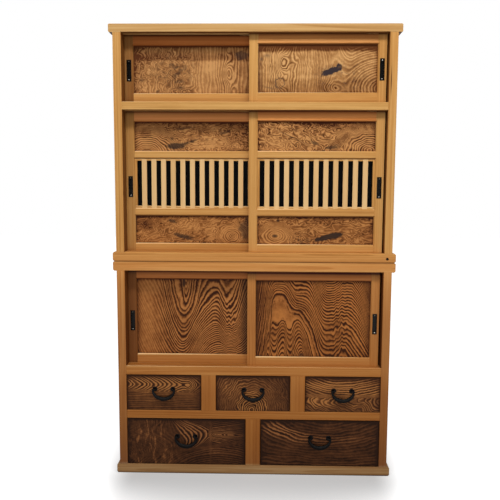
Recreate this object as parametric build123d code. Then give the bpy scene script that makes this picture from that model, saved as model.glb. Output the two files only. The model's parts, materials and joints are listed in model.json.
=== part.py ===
"""Mizuya kitchen cabinet: an upper chest on a lower chest, six sliding doors, five drawers.

Millimetres, +Z up, +X to the right seen from the front, front towards -Y.
Origin: middle of the footprint, on the floor.
"""
from build123d import *
from itertools import accumulate
from math import cos, pi, sin
import os

os.makedirs("parts", exist_ok=True)

# ---------------------------------------------------------------- driving dimensions
# Case
body_width = 1072.0           # outside the posts
case_depth = 430.0
post_width = 32.0             # posts seen from the front
post_depth = 85.0             # front posts: both tracks of doors close against them
rear_post_depth = 45.0
top_overhang = 16.0           # board ends past the posts, each side
waist_overhang = 14.0
base_overhang = 12.0
top_end_chamfer = 3.0
end_chamfer = 5.0

# Heights, from the floor up
base_height = 37.0
large_drawer_height = 191.0
drawer_rail_height = 34.0
small_drawer_height = 145.0
sill_rail_height = 36.0
lower_door_height = 381.0
lower_top_height = 38.0
upper_base_height = 36.0
middle_door_height = 544.0
middle_rail_height = 31.0
top_door_height = 256.0
top_board_height = 31.0

# Joinery
opening_bevel = 2.0           # eased front edge round each opening of the case
stub_length = 12.0            # posts into the boards
stub_inset = 8.0
tenon_length = 20.0
tenon_inset = 7.0             # shoulder above and below a tenon
tenon_setback = 20.0          # front rail tenons behind the case face
tenon_gap = 5.0               # between two tenons that meet in one post
side_tenon_thickness = 12.0
ledge = 10.0                  # rebate that carries a floor or top board
sleeper_width = 44.0
bearer_width = 50.0
floor_thickness = 10.0
side_rail_height = 40.0
side_panel_thickness = 7.0
panel_groove = 6.0            # depth of every groove that holds a panel
panel_play = 0.2
back_thickness = 8.0
back_rebate = 10.0
back_board_count = 4

# Shelves
shelf_thickness = 12.0
shelf_housing = 8.0           # shelf ends into the side rails
inner_shelf_rise = 268.0      # top of the inner shelf over the middle sill
inner_rail_height = 34.0

# Dividers
small_divider_width = 60.0
large_divider_width = 60.0
divider_depth = 45.0
divider_stub = 8.0
guide_height = 22.0
guide_rear_gap = 20.0
small_divider_offset = 177.0  # centre of each divider from the middle of the case

# Door tracks
track_lip = 24.5              # case face to the front groove
groove_width = 13.0
sill_groove_depth = 4.0
head_groove_depth = 10.0
track_play = 0.5              # tongue to groove wall, each side
running_gap = 0.3
door_gap = 3.0                # between the front and rear doors
door_thickness = 26.0
door_shoulder_gap = 1.0
head_engagement = 5.0
jamb_gap = 0.5

# Doors
door_stile = 34.0
door_bevel = 4.0
door_tenon_thickness = 9.0
door_tenon_length = 26.0
door_tenon_inset = 8.0
panel_setback = 10.0          # door face to panel face
panel_thickness = 7.0
top_bottom_rail = 39.0
top_head_rail = 38.0
middle_bottom_rail = 31.0
middle_head_rail = 39.0
cross_rail = 30.0
lower_panel_height = 109.0
lattice_height = 193.0
lower_bottom_rail = 35.0
lower_head_rail = 39.0
top_ajar = 4.5                # right doors stand slightly open
middle_ajar = 4.5
lower_ajar = 8.0

# Lattice
slat_count = 11
slat_width = 19.3
slat_thickness = 8.0
lattice_border = 8.0
lattice_border_thickness = 11.0
lattice_setback = 5.0
glass_thickness = 3.0
glass_gap = 1.0               # behind the lattice border

# Finger pulls
pull_width = 18.0
pull_height = 82.0
pull_depth = 9.0
pull_wall = 1.2
pull_tab = 9.0                # flat ends that take the nails
pull_proud = 0.6
top_pull_rise = 124.0         # pull centre over the sill of its row
middle_pull_rise = 253.0
lower_pull_rise = 172.0

# Drawers
drawer_inset = 2.0
drawer_side_gap = 1.0
drawer_top_gap = 1.7
drawer_back_gap = 28.0
drawer_front_thickness = 18.0
drawer_front_lap = 8.0        # front left in front of the sides
drawer_edge = 1.5
drawer_side_thickness = 10.0
drawer_bottom_thickness = 7.0
drawer_side_drop = 4.0
drawer_back_drop = 12.0

# Drawer handles
post_spacing = 71.0
small_handle_rise = 87.0      # hinge line over the drawer opening's floor
large_handle_rise = 117.0
plate_radius = 10.2
plate_thickness = 1.6
forged_sides = 12             # plates, eyes and pins are hammered to this many flats
stem_height = 3.2             # two legs of flat iron, one above the other
leg_thickness = 1.6           # as they are clenched over behind the drawer front
leg_reach = 9.0
handle_standoff = 12.0        # drawer face to hinge line
eye_radius = 5.0
eye_width = 4.5
pin_radius = 2.5
pin_play = 0.06
pin_end = 1.2                 # past the eye
arm_gap = 1.4                 # eye to the bail's arm outside it
arm_rise = 4.0                # top of the arm over the hinge line
arm_width = 7.0
bail_drop = 39.5              # hinge line to the middle of the bail's bottom
bail_middle_width = 13.0
bail_thickness = 7.5
bail_corner = 2.2             # cut off each corner of the section
bail_sections = 11

# ---------------------------------------------------------------- planes worked out from them
front_y = -case_depth / 2
rear_y = case_depth / 2
frame_back = front_y + post_depth
rear_post_front = rear_y - rear_post_depth
back_y = rear_y - back_thickness
inner_x = body_width / 2 - post_width
opening_x = (-inner_x, inner_x)

(base_top, large_top, drawer_rail_top, small_top, sill_top, lower_door_top, lower_top,
 upper_base_top, middle_door_top, middle_rail_top, top_door_top, total_height) = accumulate((
    base_height, large_drawer_height, drawer_rail_height, small_drawer_height,
    sill_rail_height, lower_door_height, lower_top_height, upper_base_height,
    middle_door_height, middle_rail_height, top_door_height, top_board_height))

large_z = (base_top, large_top)
small_z = (drawer_rail_top, small_top)
lower_door_z = (sill_top, lower_door_top)
middle_door_z = (upper_base_top, middle_door_top)
top_door_z = (middle_rail_top, top_door_top)
inner_shelf_top = upper_base_top + inner_shelf_rise

door_pitch = door_thickness + door_gap
front_track = front_y + track_lip
rear_track = front_track + door_pitch
door_width = inner_x + door_stile / 2 - jamb_gap

half_divider = small_divider_width / 2
small_left_x = (-inner_x, -small_divider_offset - half_divider)
small_middle_x = (-small_divider_offset + half_divider, small_divider_offset - half_divider)
small_right_x = (small_divider_offset + half_divider, inner_x)
large_left_x = (-inner_x, -large_divider_width / 2)
large_right_x = (large_divider_width / 2, inner_x)


# ---------------------------------------------------------------- timber and joints
def block(x, y, z):
    """A squared piece between two planes on each axis."""
    spans = (x, y, z)
    sizes = [high - low for low, high in spans]
    middle = [(low + high) / 2 for low, high in spans]
    return Pos(*middle) * Box(*sizes)


def inset(span, amount):
    """A span with the same amount taken off both ends (added, if it is negative)."""
    return (span[0] + amount, span[1] - amount)


def centred(middle, width):
    return (middle - width / 2, middle + width / 2)


def cut(pieces, *cutters):
    """Each piece with all the cutters taken out of it."""
    result = []
    for piece in pieces:
        for cutter in cutters:
            piece = piece - cutter
        result.append(piece)
    return result


def mirrored(pieces):
    """The same pieces on the other side of the case."""
    return [mirror(piece, about=Plane.YZ) for piece in pieces]


def bevel(x, z, y, size):
    """Cutter that eases the front edges of an opening in a face at y."""
    def section(grow, depth):
        plane = Plane(origin=(sum(x) / 2, y + depth, sum(z) / 2), x_dir=(1, 0, 0), z_dir=(0, -1, 0))
        return plane * Rectangle(x[1] - x[0] + 2 * grow, z[1] - z[0] + 2 * grow)
    return loft([section(size, 0), section(0, size)], ruled=True)


opening_bevels = [
    bevel(x, z, front_y, opening_bevel)
    for x, z in (
        (opening_x, top_door_z), (opening_x, middle_door_z), (opening_x, lower_door_z),
        (small_left_x, small_z), (small_middle_x, small_z), (small_right_x, small_z),
        (large_left_x, large_z), (large_right_x, large_z))]


def door_grooves(z):
    """The front and rear grooves of a row of doors, between the posts."""
    return [block(opening_x, (track, track + groove_width), z) for track in (front_track, rear_track)]


def sill_grooves(top):
    return door_grooves((top - sill_groove_depth, top))


def head_grooves(bottom):
    return door_grooves((bottom, bottom + head_groove_depth))


# ---------------------------------------------------------------- posts, side rails and panels
def post(y, z):
    """Left post with a stub at each end that enters the boards."""
    x = (-body_width / 2, -inner_x)
    body = block(x, y, z)
    stub = block(inset(x, stub_inset), inset(y, stub_inset), inset(z, -stub_length))
    return body + stub


def side_rail(z):
    """Left side rail with a tenon into each post."""
    x = (-body_width / 2, -inner_x)
    y = (frame_back, rear_post_front)
    tenon_x = centred(sum(x) / 2, side_tenon_thickness)
    return block(x, y, z) + block(tenon_x, inset(y, -tenon_length), inset(z, tenon_inset))


def side_panels(rail_levels):
    """Thin boards of the left side, one between each two rails, held in grooves."""
    x = centred(-body_width / 2 + post_width / 2, side_panel_thickness)
    y = inset((frame_back, rear_post_front), -panel_groove + panel_play)
    gaps = zip(rail_levels[:-1], rail_levels[1:])
    return [block(x, y, (low[1] - panel_groove + panel_play, high[0] + panel_groove - panel_play))
            for low, high in gaps]


def panel_seat(panel):
    """The groove that a panel sits in, with its play all round."""
    box = panel.bounding_box()
    return block(inset((box.min.X, box.max.X), -panel_play),
                 inset((box.min.Y, box.max.Y), -panel_play),
                 inset((box.min.Z, box.max.Z), -panel_play))


def rail_tenon(z):
    """Left tenon of a front rail, into the front post."""
    y = (front_y + tenon_setback, frame_back - tenon_length - tenon_gap)
    return block((-inner_x - tenon_length, -inner_x), y, inset(z, tenon_inset))


def front_rail(z):
    """Rail between the front posts, as deep as they are, with a tenon at each end."""
    tenon = rail_tenon(z)
    return block(opening_x, (front_y, frame_back), z) + tenon + mirror(tenon, about=Plane.YZ)


def left_frame(z, rail_levels, front_rails, shelves):
    """Posts and side rails of one chest's left side, with their mortises and housings."""
    rails = [side_rail(level) for level in rail_levels]
    posts = [post((front_y, frame_back), z), post((rear_post_front, rear_y), z)]
    panels = side_panels(rail_levels)
    seats = [panel_seat(panel) for panel in panels]
    back_edge = block((-inner_x - back_rebate, -inner_x), (back_y, rear_y), z)
    posts = cut(posts, back_edge, *rails, *(rail_tenon(level) for level in front_rails),
                *seats, *opening_bevels)
    return posts + cut(rails, *seats, *shelves), panels


def shelf(top, thickness):
    """Shelf board from the front frame to the back, its ends housed in the side rails."""
    z = (top - thickness, top)
    wide = inset(opening_x, -shelf_housing)
    return (block(opening_x, (frame_back, back_y), z)
            + block(wide, (frame_back, rear_post_front), z))


def back_boards(z):
    """Upright boards side by side in the rear posts' rebates."""
    low, high = inset(opening_x, -back_rebate)
    width = (high - low) / back_board_count
    return [block((low + i * width, low + (i + 1) * width), (back_y, rear_y), z)
            for i in range(back_board_count)]


# ---------------------------------------------------------------- boards at floor, waist and top
def end_eased(outline, size):
    """Chamfer the arrises that run from front to back."""
    return chamfer(outline.edges().filter_by(Axis.Y), size)


def framed_board(overhang, z, board_z, bearer_z):
    """Front and rear rails, two sleepers, a bearer and the board that lies in their rebates."""
    half = body_width / 2 + overhang
    front = (front_y, frame_back + ledge)
    rear = (rear_post_front - ledge, rear_y)
    sleeper = (-half, -half + overhang + post_width + ledge)
    between = (front[1], rear[0])
    outline = end_eased(block((-half, half), (front_y, rear_y), z), end_chamfer)
    board = block(opening_x, (frame_back, rear_post_front), board_z)

    front_member = outline & block((-half, half), front, z)
    rear_member = outline & block((-half, half), rear, z)
    tenon = block(inset(sleeper, sleeper_width / 4), inset(between, -tenon_length),
                  inset(z, (z[1] - z[0]) / 3))
    left = (outline & block(sleeper, between, z)) + tenon
    right = mirror(left, about=Plane.YZ)
    bearer = block(centred(0, bearer_width), between, bearer_z)
    members = cut([front_member, rear_member], left, right) + [left, right]
    return cut(members, board) + [bearer, board]


def stub_seats(level, height_below, height_above):
    """Mortises for all four posts' stubs at the joint of a post and a board."""
    seats = []
    for y in ((front_y, frame_back), (rear_post_front, rear_y)):
        left = block(inset((-body_width / 2, -inner_x), stub_inset), inset(y, stub_inset),
                     (level - height_below, level + height_above))
        seats += [left, mirror(left, about=Plane.YZ)]
    return seats


def board_above(overhang, z):
    """Framed board with its panel flush with its top, as a top or a floor."""
    return framed_board(overhang, z, (z[1] - floor_thickness, z[1]), (z[0], z[1] - floor_thickness))


base_frame = cut(board_above(base_overhang, (0, base_top)),
                 *stub_seats(base_top, stub_length, 0), *opening_bevels)
lower_top_frame = cut(board_above(waist_overhang, (lower_door_top, lower_top)),
                      *stub_seats(lower_door_top, 0, stub_length),
                      *head_grooves(lower_door_top), *opening_bevels)
upper_base_frame = cut(board_above(waist_overhang, (lower_top, upper_base_top)),
                       *stub_seats(upper_base_top, stub_length, 0),
                       *sill_grooves(upper_base_top), *opening_bevels)

top_half = body_width / 2 + top_overhang
top_blank = block((-top_half, top_half), (front_y, rear_y), (top_door_top, total_height))
top_board = cut([end_eased(top_blank, top_end_chamfer)],
                *stub_seats(top_door_top, 0, stub_length),
                *head_grooves(top_door_top), *opening_bevels)

# ---------------------------------------------------------------- shelves, rails and dividers
divider_shelf = shelf(middle_rail_top, shelf_thickness)
inner_shelf = shelf(inner_shelf_top, shelf_thickness)
door_floor = shelf(sill_top, shelf_thickness)
dust_board = shelf(drawer_rail_top, floor_thickness)

middle_rail_z = (middle_door_top, middle_rail_top)
sill_rail_z = (small_top, sill_top)
drawer_rail_z = (large_top, drawer_rail_top)
inner_rail_middle = inner_shelf_top - shelf_thickness / 2
upper_levels = [
    (upper_base_top, upper_base_top + side_rail_height),
    centred(inner_rail_middle, inner_rail_height),
    middle_rail_z,
    (top_door_top - side_rail_height, top_door_top)]
lower_levels = [
    (base_top, base_top + side_rail_height),
    drawer_rail_z,
    sill_rail_z,
    (lower_door_top - side_rail_height, lower_door_top)]

upper_left, upper_left_panels = left_frame(
    (upper_base_top, top_door_top), upper_levels, [middle_rail_z], [divider_shelf, inner_shelf])
lower_left, lower_left_panels = left_frame(
    (base_top, lower_door_top), lower_levels, [sill_rail_z, drawer_rail_z], [door_floor, dust_board])


def divider(x, z):
    """Short post between two drawers, with a stub at each end."""
    y = (front_y, front_y + divider_depth)
    stub = block(inset(x, stub_inset), inset(y, stub_inset), inset(z, -divider_stub))
    return block(x, y, z) + stub


def guide(x, floor):
    """Batten behind a divider that keeps the drawers on both sides straight."""
    return block(x, (front_y + divider_depth, back_y - guide_rear_gap), (floor, floor + guide_height))


small_dividers_x = [centred(side * small_divider_offset, small_divider_width) for side in (-1, 1)]
large_divider_x = centred(0, large_divider_width)
dividers = [divider(x, small_z) for x in small_dividers_x] + [divider(large_divider_x, large_z)]
guides = [guide(x, drawer_rail_top) for x in small_dividers_x] + [guide(large_divider_x, base_top)]

middle_rail = cut([front_rail(middle_rail_z)], *sill_grooves(middle_rail_top),
                  *head_grooves(middle_door_top), *opening_bevels)
sill_rail = cut([front_rail(sill_rail_z)], *sill_grooves(sill_top), *dividers, *opening_bevels)
drawer_rail = cut([front_rail(drawer_rail_z)], *dividers, *opening_bevels)
base_frame = cut(base_frame, *dividers)
eased_dividers = cut(dividers, *opening_bevels)

nodes = {
    "upper_top_board": top_board,
    "upper_left_frame": upper_left,
    "upper_right_frame": mirrored(upper_left),
    "upper_side_panels": upper_left_panels + mirrored(upper_left_panels),
    "upper_back_boards": back_boards((upper_base_top, top_door_top)),
    "upper_middle_rail": middle_rail,
    "upper_shelves": [divider_shelf, inner_shelf],
    "upper_base_frame": upper_base_frame,
    "lower_top_frame": lower_top_frame,
    "lower_left_frame": lower_left,
    "lower_right_frame": mirrored(lower_left),
    "lower_side_panels": lower_left_panels + mirrored(lower_left_panels),
    "lower_back_boards": back_boards((base_top, lower_door_top)),
    "door_sill_rail": sill_rail,
    "lower_shelves": [door_floor, dust_board],
    "drawer_rail": drawer_rail,
    "drawer_dividers": eased_dividers + guides,
    "lower_base_frame": base_frame,
}


# ---------------------------------------------------------------- sliding doors
def door_tongues(x, face, z):
    """Cutters that leave only the tongue of a door below its bottom and above its top."""
    behind = (face + groove_width - 2 * track_play, face + door_thickness)
    reach = sill_groove_depth + head_engagement
    return [block(inset(x, -1), behind, (z[0] - reach, z[0] + door_shoulder_gap)),
            block(inset(x, -1), behind, (z[1] - door_shoulder_gap, z[1] + reach))]


def door_frame(x, face, z, rails, pull_seat, sheets):
    """Two stiles and the rails between them, rails given from the sill up."""
    y = (face, face + door_thickness)
    full = (z[0] - sill_groove_depth + running_gap, z[1] + head_engagement)
    between = inset(x, door_stile)
    middle_y = centred(face + door_thickness / 2, door_tenon_thickness)

    spans = [(full[0], rails[0][1])] + rails[1:-1] + [(rails[-1][0], full[1])]
    members = []
    for span, rail in zip(spans, rails):
        tenon = block(inset(between, -door_tenon_length), middle_y, inset(rail, door_tenon_inset))
        members.append(block(between, y, span) + tenon)
    stiles = [block((x[0], between[0]), y, full), block((between[1], x[1]), y, full)]
    stiles = cut(stiles, *members)

    lights = [(low[1], high[0]) for low, high in zip(rails[:-1], rails[1:])]
    bevels = [bevel(between, light, face, door_bevel) for light in lights]
    grooves = [panel_seat(sheet) for sheet in sheets]
    return cut(stiles + members, pull_seat, *door_tongues(x, face, z), *bevels, *grooves)


def sheet(between, light, face, setback, thickness):
    """Panel or pane that fills an opening of a door and enters its grooves."""
    reach = -panel_groove + panel_play
    return block(inset(between, reach), (face + setback, face + setback + thickness),
                 inset(light, reach))


def finger_pull(x, face, z):
    """Iron cup let into a stile, with a flat tab at each end. Returns the cup and its seat."""
    y = (face - pull_proud, face + pull_depth)
    cup = block(x, y, z)
    hollow = block(inset(x, pull_wall), (y[0], y[1] - pull_wall), inset(z, pull_tab))
    seat = block(x, (face - pull_proud, face + pull_depth), z)
    return cup - hollow, seat


def lattice(between, light, face):
    """Border strips with the slats let into the top and bottom ones, and the pane behind."""
    strip_y = (face + lattice_setback, face + lattice_setback + lattice_border_thickness)
    slat_y = (strip_y[0], strip_y[0] + slat_thickness)
    inner_light = inset(light, lattice_border)
    clear = inset(between, lattice_border)
    gap = (clear[1] - clear[0] - slat_count * slat_width) / (slat_count + 1)
    slats = []
    for i in range(slat_count):
        left = clear[0] + gap + i * (gap + slat_width)
        slats.append(block((left, left + slat_width), slat_y, light))
    long_strips = cut([block(between, strip_y, (light[0], inner_light[0])),
                       block(between, strip_y, (inner_light[1], light[1]))], *slats)
    short_strips = [block((between[0], clear[0]), strip_y, inner_light),
                    block((clear[1], between[1]), strip_y, inner_light)]
    pane = sheet(between, light, face, strip_y[1] - face + glass_gap, glass_thickness)
    return long_strips + short_strips + slats, pane


def door_row(row, z, rail_heights, light_heights, pull_rise, ajar, lattice_index):
    """The left (rear track) and right (front track) doors of one row.

    rail_heights and light_heights run from the sill up; the last light takes what is left.
    """
    left_x = (-inner_x + jamb_gap, -inner_x + jamb_gap + door_width)
    right_x = (inner_x - ajar - door_width, inner_x - ajar)
    last_light = z[1] - z[0] - sum(rail_heights) - sum(light_heights)
    heights = [*light_heights, last_light]

    rails, level = [], z[0]
    for rail_height, light_height in zip(rail_heights, [*heights, 0]):
        rails.append((level, level + rail_height))
        level += rail_height + light_height
    lights = [(low[1], high[0]) for low, high in zip(rails[:-1], rails[1:])]

    for side, x, track in (("left", left_x, rear_track), ("right", right_x, front_track)):
        face = track + track_play
        between = inset(x, door_stile)
        outer_stile = x[0] + door_stile / 2 if side == "left" else x[1] - door_stile / 2
        pull, seat = finger_pull(centred(outer_stile, pull_width), face,
                                 centred(z[0] + pull_rise, pull_height))
        panels, sheets = [], []
        for index, light in enumerate(lights):
            if index == lattice_index:
                bars, pane = lattice(between, light, face)
                nodes[f"{row}_{side}_door_lattice"] = bars
                nodes[f"{row}_{side}_door_glass"] = [pane]
                sheets.append(pane)
            else:
                panels.append(sheet(between, light, face, panel_setback, panel_thickness))
        sheets += panels
        nodes[f"{row}_{side}_door_frame"] = door_frame(x, face, z, rails, seat, sheets)
        nodes[f"{row}_{side}_door_panel"] = panels
        nodes[f"{row}_{side}_door_pull"] = [pull]


door_row("top", top_door_z, [top_bottom_rail, top_head_rail], [], top_pull_rise, top_ajar, None)
door_row("middle", middle_door_z, [middle_bottom_rail, cross_rail, cross_rail, middle_head_rail],
         [lower_panel_height, lattice_height], middle_pull_rise, middle_ajar, 1)
door_row("lower", lower_door_z, [lower_bottom_rail, lower_head_rail], [], lower_pull_rise,
         lower_ajar, None)


# ---------------------------------------------------------------- drawers
def bar(outline, start, direction, length):
    """An outline drawn out from a point along a direction."""
    return extrude(Plane(origin=start, z_dir=direction) * outline, amount=length)


def stem_span(x, z):
    """Width and height of the flat stem that goes through the drawer front."""
    return centred(x, eye_width), centred(z, stem_height)


def eye_post(x, face, z):
    """Forged eye whose two legs pass through the drawer front and are clenched behind it."""
    hinge_y = face - handle_standoff
    back = face + drawer_front_thickness
    eye_start = (x - eye_width / 2, hinge_y, z)
    across = (1, 0, 0)
    eye = bar(RegularPolygon(eye_radius, forged_sides), eye_start, across, eye_width)
    hole = bar(Circle(pin_radius + pin_play), eye_start, across, eye_width)
    stem_x, stem_z = stem_span(x, z)
    stem_start = hinge_y + (eye_radius + pin_radius) / 2
    stem = block(stem_x, (stem_start, back), stem_z)
    legs = block(stem_x, (back, back + leg_thickness), centred(z, 2 * leg_reach))
    plate = bar(RegularPolygon(plate_radius, forged_sides), (x, face, z), (0, -1, 0),
                plate_thickness)
    plate = chamfer(plate.faces().sort_by(Axis.Y)[0].edges(), plate_thickness / 2)
    return (eye + stem - hole) + plate + legs


def bail_section(point, tangent, width):
    """Octagonal section of the bail, square to its curve."""
    plane = Plane(origin=point, x_dir=(0, 1, 0), z_dir=tangent)
    return plane * chamfer(Rectangle(bail_thickness, width).vertices(), bail_corner)


def bail(x, face, z):
    """Crescent drop handle whose pins, turned in at the tops of its arms, run in the two eyes."""
    y = face - handle_standoff
    arm_start = post_spacing / 2 + eye_width / 2 + arm_gap
    half_width = arm_start + arm_width / 2
    sections = []
    for i in range(bail_sections):
        angle = pi * i / (bail_sections - 1)
        point = (x + half_width * cos(angle), y, z - bail_drop * sin(angle))
        tangent = (-half_width * sin(angle), 0, -bail_drop * cos(angle))
        width = arm_width + (bail_middle_width - arm_width) * sin(angle)
        sections.append(bail_section(point, tangent, width))
    right_top = bail_section((x + half_width, y, z + arm_rise), (0, 0, -1), arm_width)
    left_top = bail_section((x - half_width, y, z + arm_rise), (0, 0, 1), arm_width)
    body = loft([right_top, *sections, left_top], ruled=True)

    pin_length = arm_start - (post_spacing / 2 - eye_width / 2 - pin_end)
    for side in (-1, 1):
        body = body + bar(RegularPolygon(pin_radius, forged_sides),
                          (x + side * arm_start, y, z), (-side, 0, 0), pin_length)
    return body


def drawer(name, x, z, handle_rise):
    """Front, box, two eye posts and the bail of one drawer."""
    x = inset(x, drawer_side_gap)
    low, high = z[0] + running_gap, z[1] - drawer_top_gap
    face = front_y + drawer_inset
    box_front = face + drawer_front_lap
    box_back = back_y - drawer_back_gap
    bottom_top = low + drawer_bottom_thickness
    side_top = high - drawer_side_drop
    inner = inset(x, drawer_side_thickness)

    bottom = block(x, (box_front, box_back), (low, bottom_top))
    sides = [block((x[0], inner[0]), (box_front, box_back), (bottom_top, side_top)),
             block((inner[1], x[1]), (box_front, box_back), (bottom_top, side_top))]
    back = block(inner, (box_back - drawer_side_thickness, box_back),
                 (bottom_top, side_top - drawer_back_drop))

    front = block(x, (face, face + drawer_front_thickness), (low, high))
    front = chamfer(front.faces().sort_by(Axis.Y)[0].edges(), drawer_edge)
    middle = (x[0] + x[1]) / 2
    hinge_z = z[0] + handle_rise
    places = [middle - post_spacing / 2, middle + post_spacing / 2]
    stems = [stem_span(place, hinge_z) for place in places]
    slots = [block(stem_x, (face, face + drawer_front_thickness), stem_z)
             for stem_x, stem_z in stems]

    nodes[f"{name}_drawer_front"] = cut([front], bottom, *sides, *slots)
    nodes[f"{name}_drawer_box"] = [bottom, *sides, back]
    nodes[f"{name}_drawer_posts"] = [eye_post(place, face, hinge_z) for place in places]
    nodes[f"{name}_drawer_handle"] = [bail(middle, face, hinge_z)]


drawer("small_left", small_left_x, small_z, small_handle_rise)
drawer("small_middle", small_middle_x, small_z, small_handle_rise)
drawer("small_right", small_right_x, small_z, small_handle_rise)
drawer("large_left", large_left_x, large_z, large_handle_rise)
drawer("large_right", large_right_x, large_z, large_handle_rise)

# ---------------------------------------------------------------- one file for each node
for name, pieces in nodes.items():
    solids = [solid for piece in pieces for solid in piece.solids()]
    export_step(Compound(children=solids, label=name), f"parts/{name}.step")
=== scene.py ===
"""Looks, light and camera for the mizuya kitchen cabinet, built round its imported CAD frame.

Metres, +Z up, front towards -Y, as in the frame.
"""
import json
import math
import random

import bmesh
import bpy
from mathutils import Matrix, Vector, noise

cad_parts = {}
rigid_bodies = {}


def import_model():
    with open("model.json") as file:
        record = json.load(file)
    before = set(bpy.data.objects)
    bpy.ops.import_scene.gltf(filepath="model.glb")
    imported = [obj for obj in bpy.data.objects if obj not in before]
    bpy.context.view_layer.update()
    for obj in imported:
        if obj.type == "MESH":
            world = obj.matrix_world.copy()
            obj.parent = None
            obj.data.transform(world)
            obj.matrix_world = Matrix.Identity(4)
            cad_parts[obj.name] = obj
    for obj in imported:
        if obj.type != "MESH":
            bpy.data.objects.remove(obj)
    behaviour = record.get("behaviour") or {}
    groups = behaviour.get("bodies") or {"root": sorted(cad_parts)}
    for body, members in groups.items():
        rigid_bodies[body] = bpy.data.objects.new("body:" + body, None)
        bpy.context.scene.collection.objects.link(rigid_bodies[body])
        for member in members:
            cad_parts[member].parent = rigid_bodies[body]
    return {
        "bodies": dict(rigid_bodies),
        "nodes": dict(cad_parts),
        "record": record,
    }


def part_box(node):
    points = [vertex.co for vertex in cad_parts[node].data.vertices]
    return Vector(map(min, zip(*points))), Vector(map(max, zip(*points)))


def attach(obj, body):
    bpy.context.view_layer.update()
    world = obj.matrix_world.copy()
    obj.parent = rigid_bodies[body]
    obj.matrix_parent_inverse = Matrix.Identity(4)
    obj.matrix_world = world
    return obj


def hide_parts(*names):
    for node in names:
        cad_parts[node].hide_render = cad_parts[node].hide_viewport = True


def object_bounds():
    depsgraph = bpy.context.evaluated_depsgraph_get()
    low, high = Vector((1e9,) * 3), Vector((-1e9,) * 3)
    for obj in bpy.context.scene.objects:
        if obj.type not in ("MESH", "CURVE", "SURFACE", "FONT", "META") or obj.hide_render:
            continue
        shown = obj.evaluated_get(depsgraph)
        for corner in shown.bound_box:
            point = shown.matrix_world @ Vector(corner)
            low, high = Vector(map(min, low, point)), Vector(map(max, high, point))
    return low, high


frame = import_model()
cad_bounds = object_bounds()
nodes = frame["nodes"]
node_slot = {part["node"]: part["material_slot"] for part in frame["record"]["subparts"]}
node_body = {node: body for body, members in frame["record"]["behaviour"]["bodies"].items()
             for node in members}

# ---------------------------------------------------------------- camera
CAMERA_AT = (0.0360, -2.6019, 1.1634)
CAMERA_YAW = 1.21                # degrees to the left, down and anticlockwise
CAMERA_PITCH = 6.08
CAMERA_ROLL = 0.26
CAMERA_LENS = 44.57              # millimetres, on Blender's own 36 mm sensor


def make_camera():
    turn = Matrix.Translation(CAMERA_AT)
    for angle, axis in ((CAMERA_YAW, "Z"), (90 - CAMERA_PITCH, "X"), (CAMERA_ROLL, "Z")):
        turn = turn @ Matrix.Rotation(math.radians(angle), 4, axis)
    data = bpy.data.cameras.new("camera")
    data.lens = CAMERA_LENS
    camera = bpy.data.objects.new("camera", data)
    camera.matrix_world = turn
    bpy.context.scene.collection.objects.link(camera)
    bpy.context.scene.camera = camera


# ---------------------------------------------------------------- node trees
def linear(r, g, b):
    """A colour given as it looks on screen, 0 to 255, as the shader wants it."""
    def channel(c):
        c /= 255
        return c / 12.92 if c <= 0.04045 else ((c + 0.055) / 1.055) ** 2.4
    return (channel(r), channel(g), channel(b), 1.0)


def palette(*colours):
    return [linear(*colour) for colour in colours]


def operation(kind, swapped=False):
    """A method that becomes a Math node. Swapped puts the other value first."""
    def apply(self, *other):
        return self.tree.math(kind, *((*other, self) if swapped else (self, *other)))
    return apply


class Value:
    """The output of a shader node, usable in arithmetic."""

    def __init__(self, tree, socket):
        self.tree = tree
        self.socket = socket

    __add__ = operation("ADD")
    __radd__ = operation("ADD", swapped=True)
    __sub__ = operation("SUBTRACT")
    __rsub__ = operation("SUBTRACT", swapped=True)
    __mul__ = operation("MULTIPLY")
    __rmul__ = operation("MULTIPLY", swapped=True)
    __truediv__ = operation("DIVIDE")
    __abs__ = operation("ABSOLUTE")
    exp = operation("EXPONENT")
    root = operation("SQRT")
    sine = operation("SINE")
    fract = operation("FRACT")
    floor = operation("FLOOR")
    most = operation("MAXIMUM")
    least = operation("MINIMUM")

    def __neg__(self):
        return self * -1.0


def bell(a, b):
    """1 where both values are 0, falling off as they grow."""
    return (-(a * a + b * b)).exp()


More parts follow.
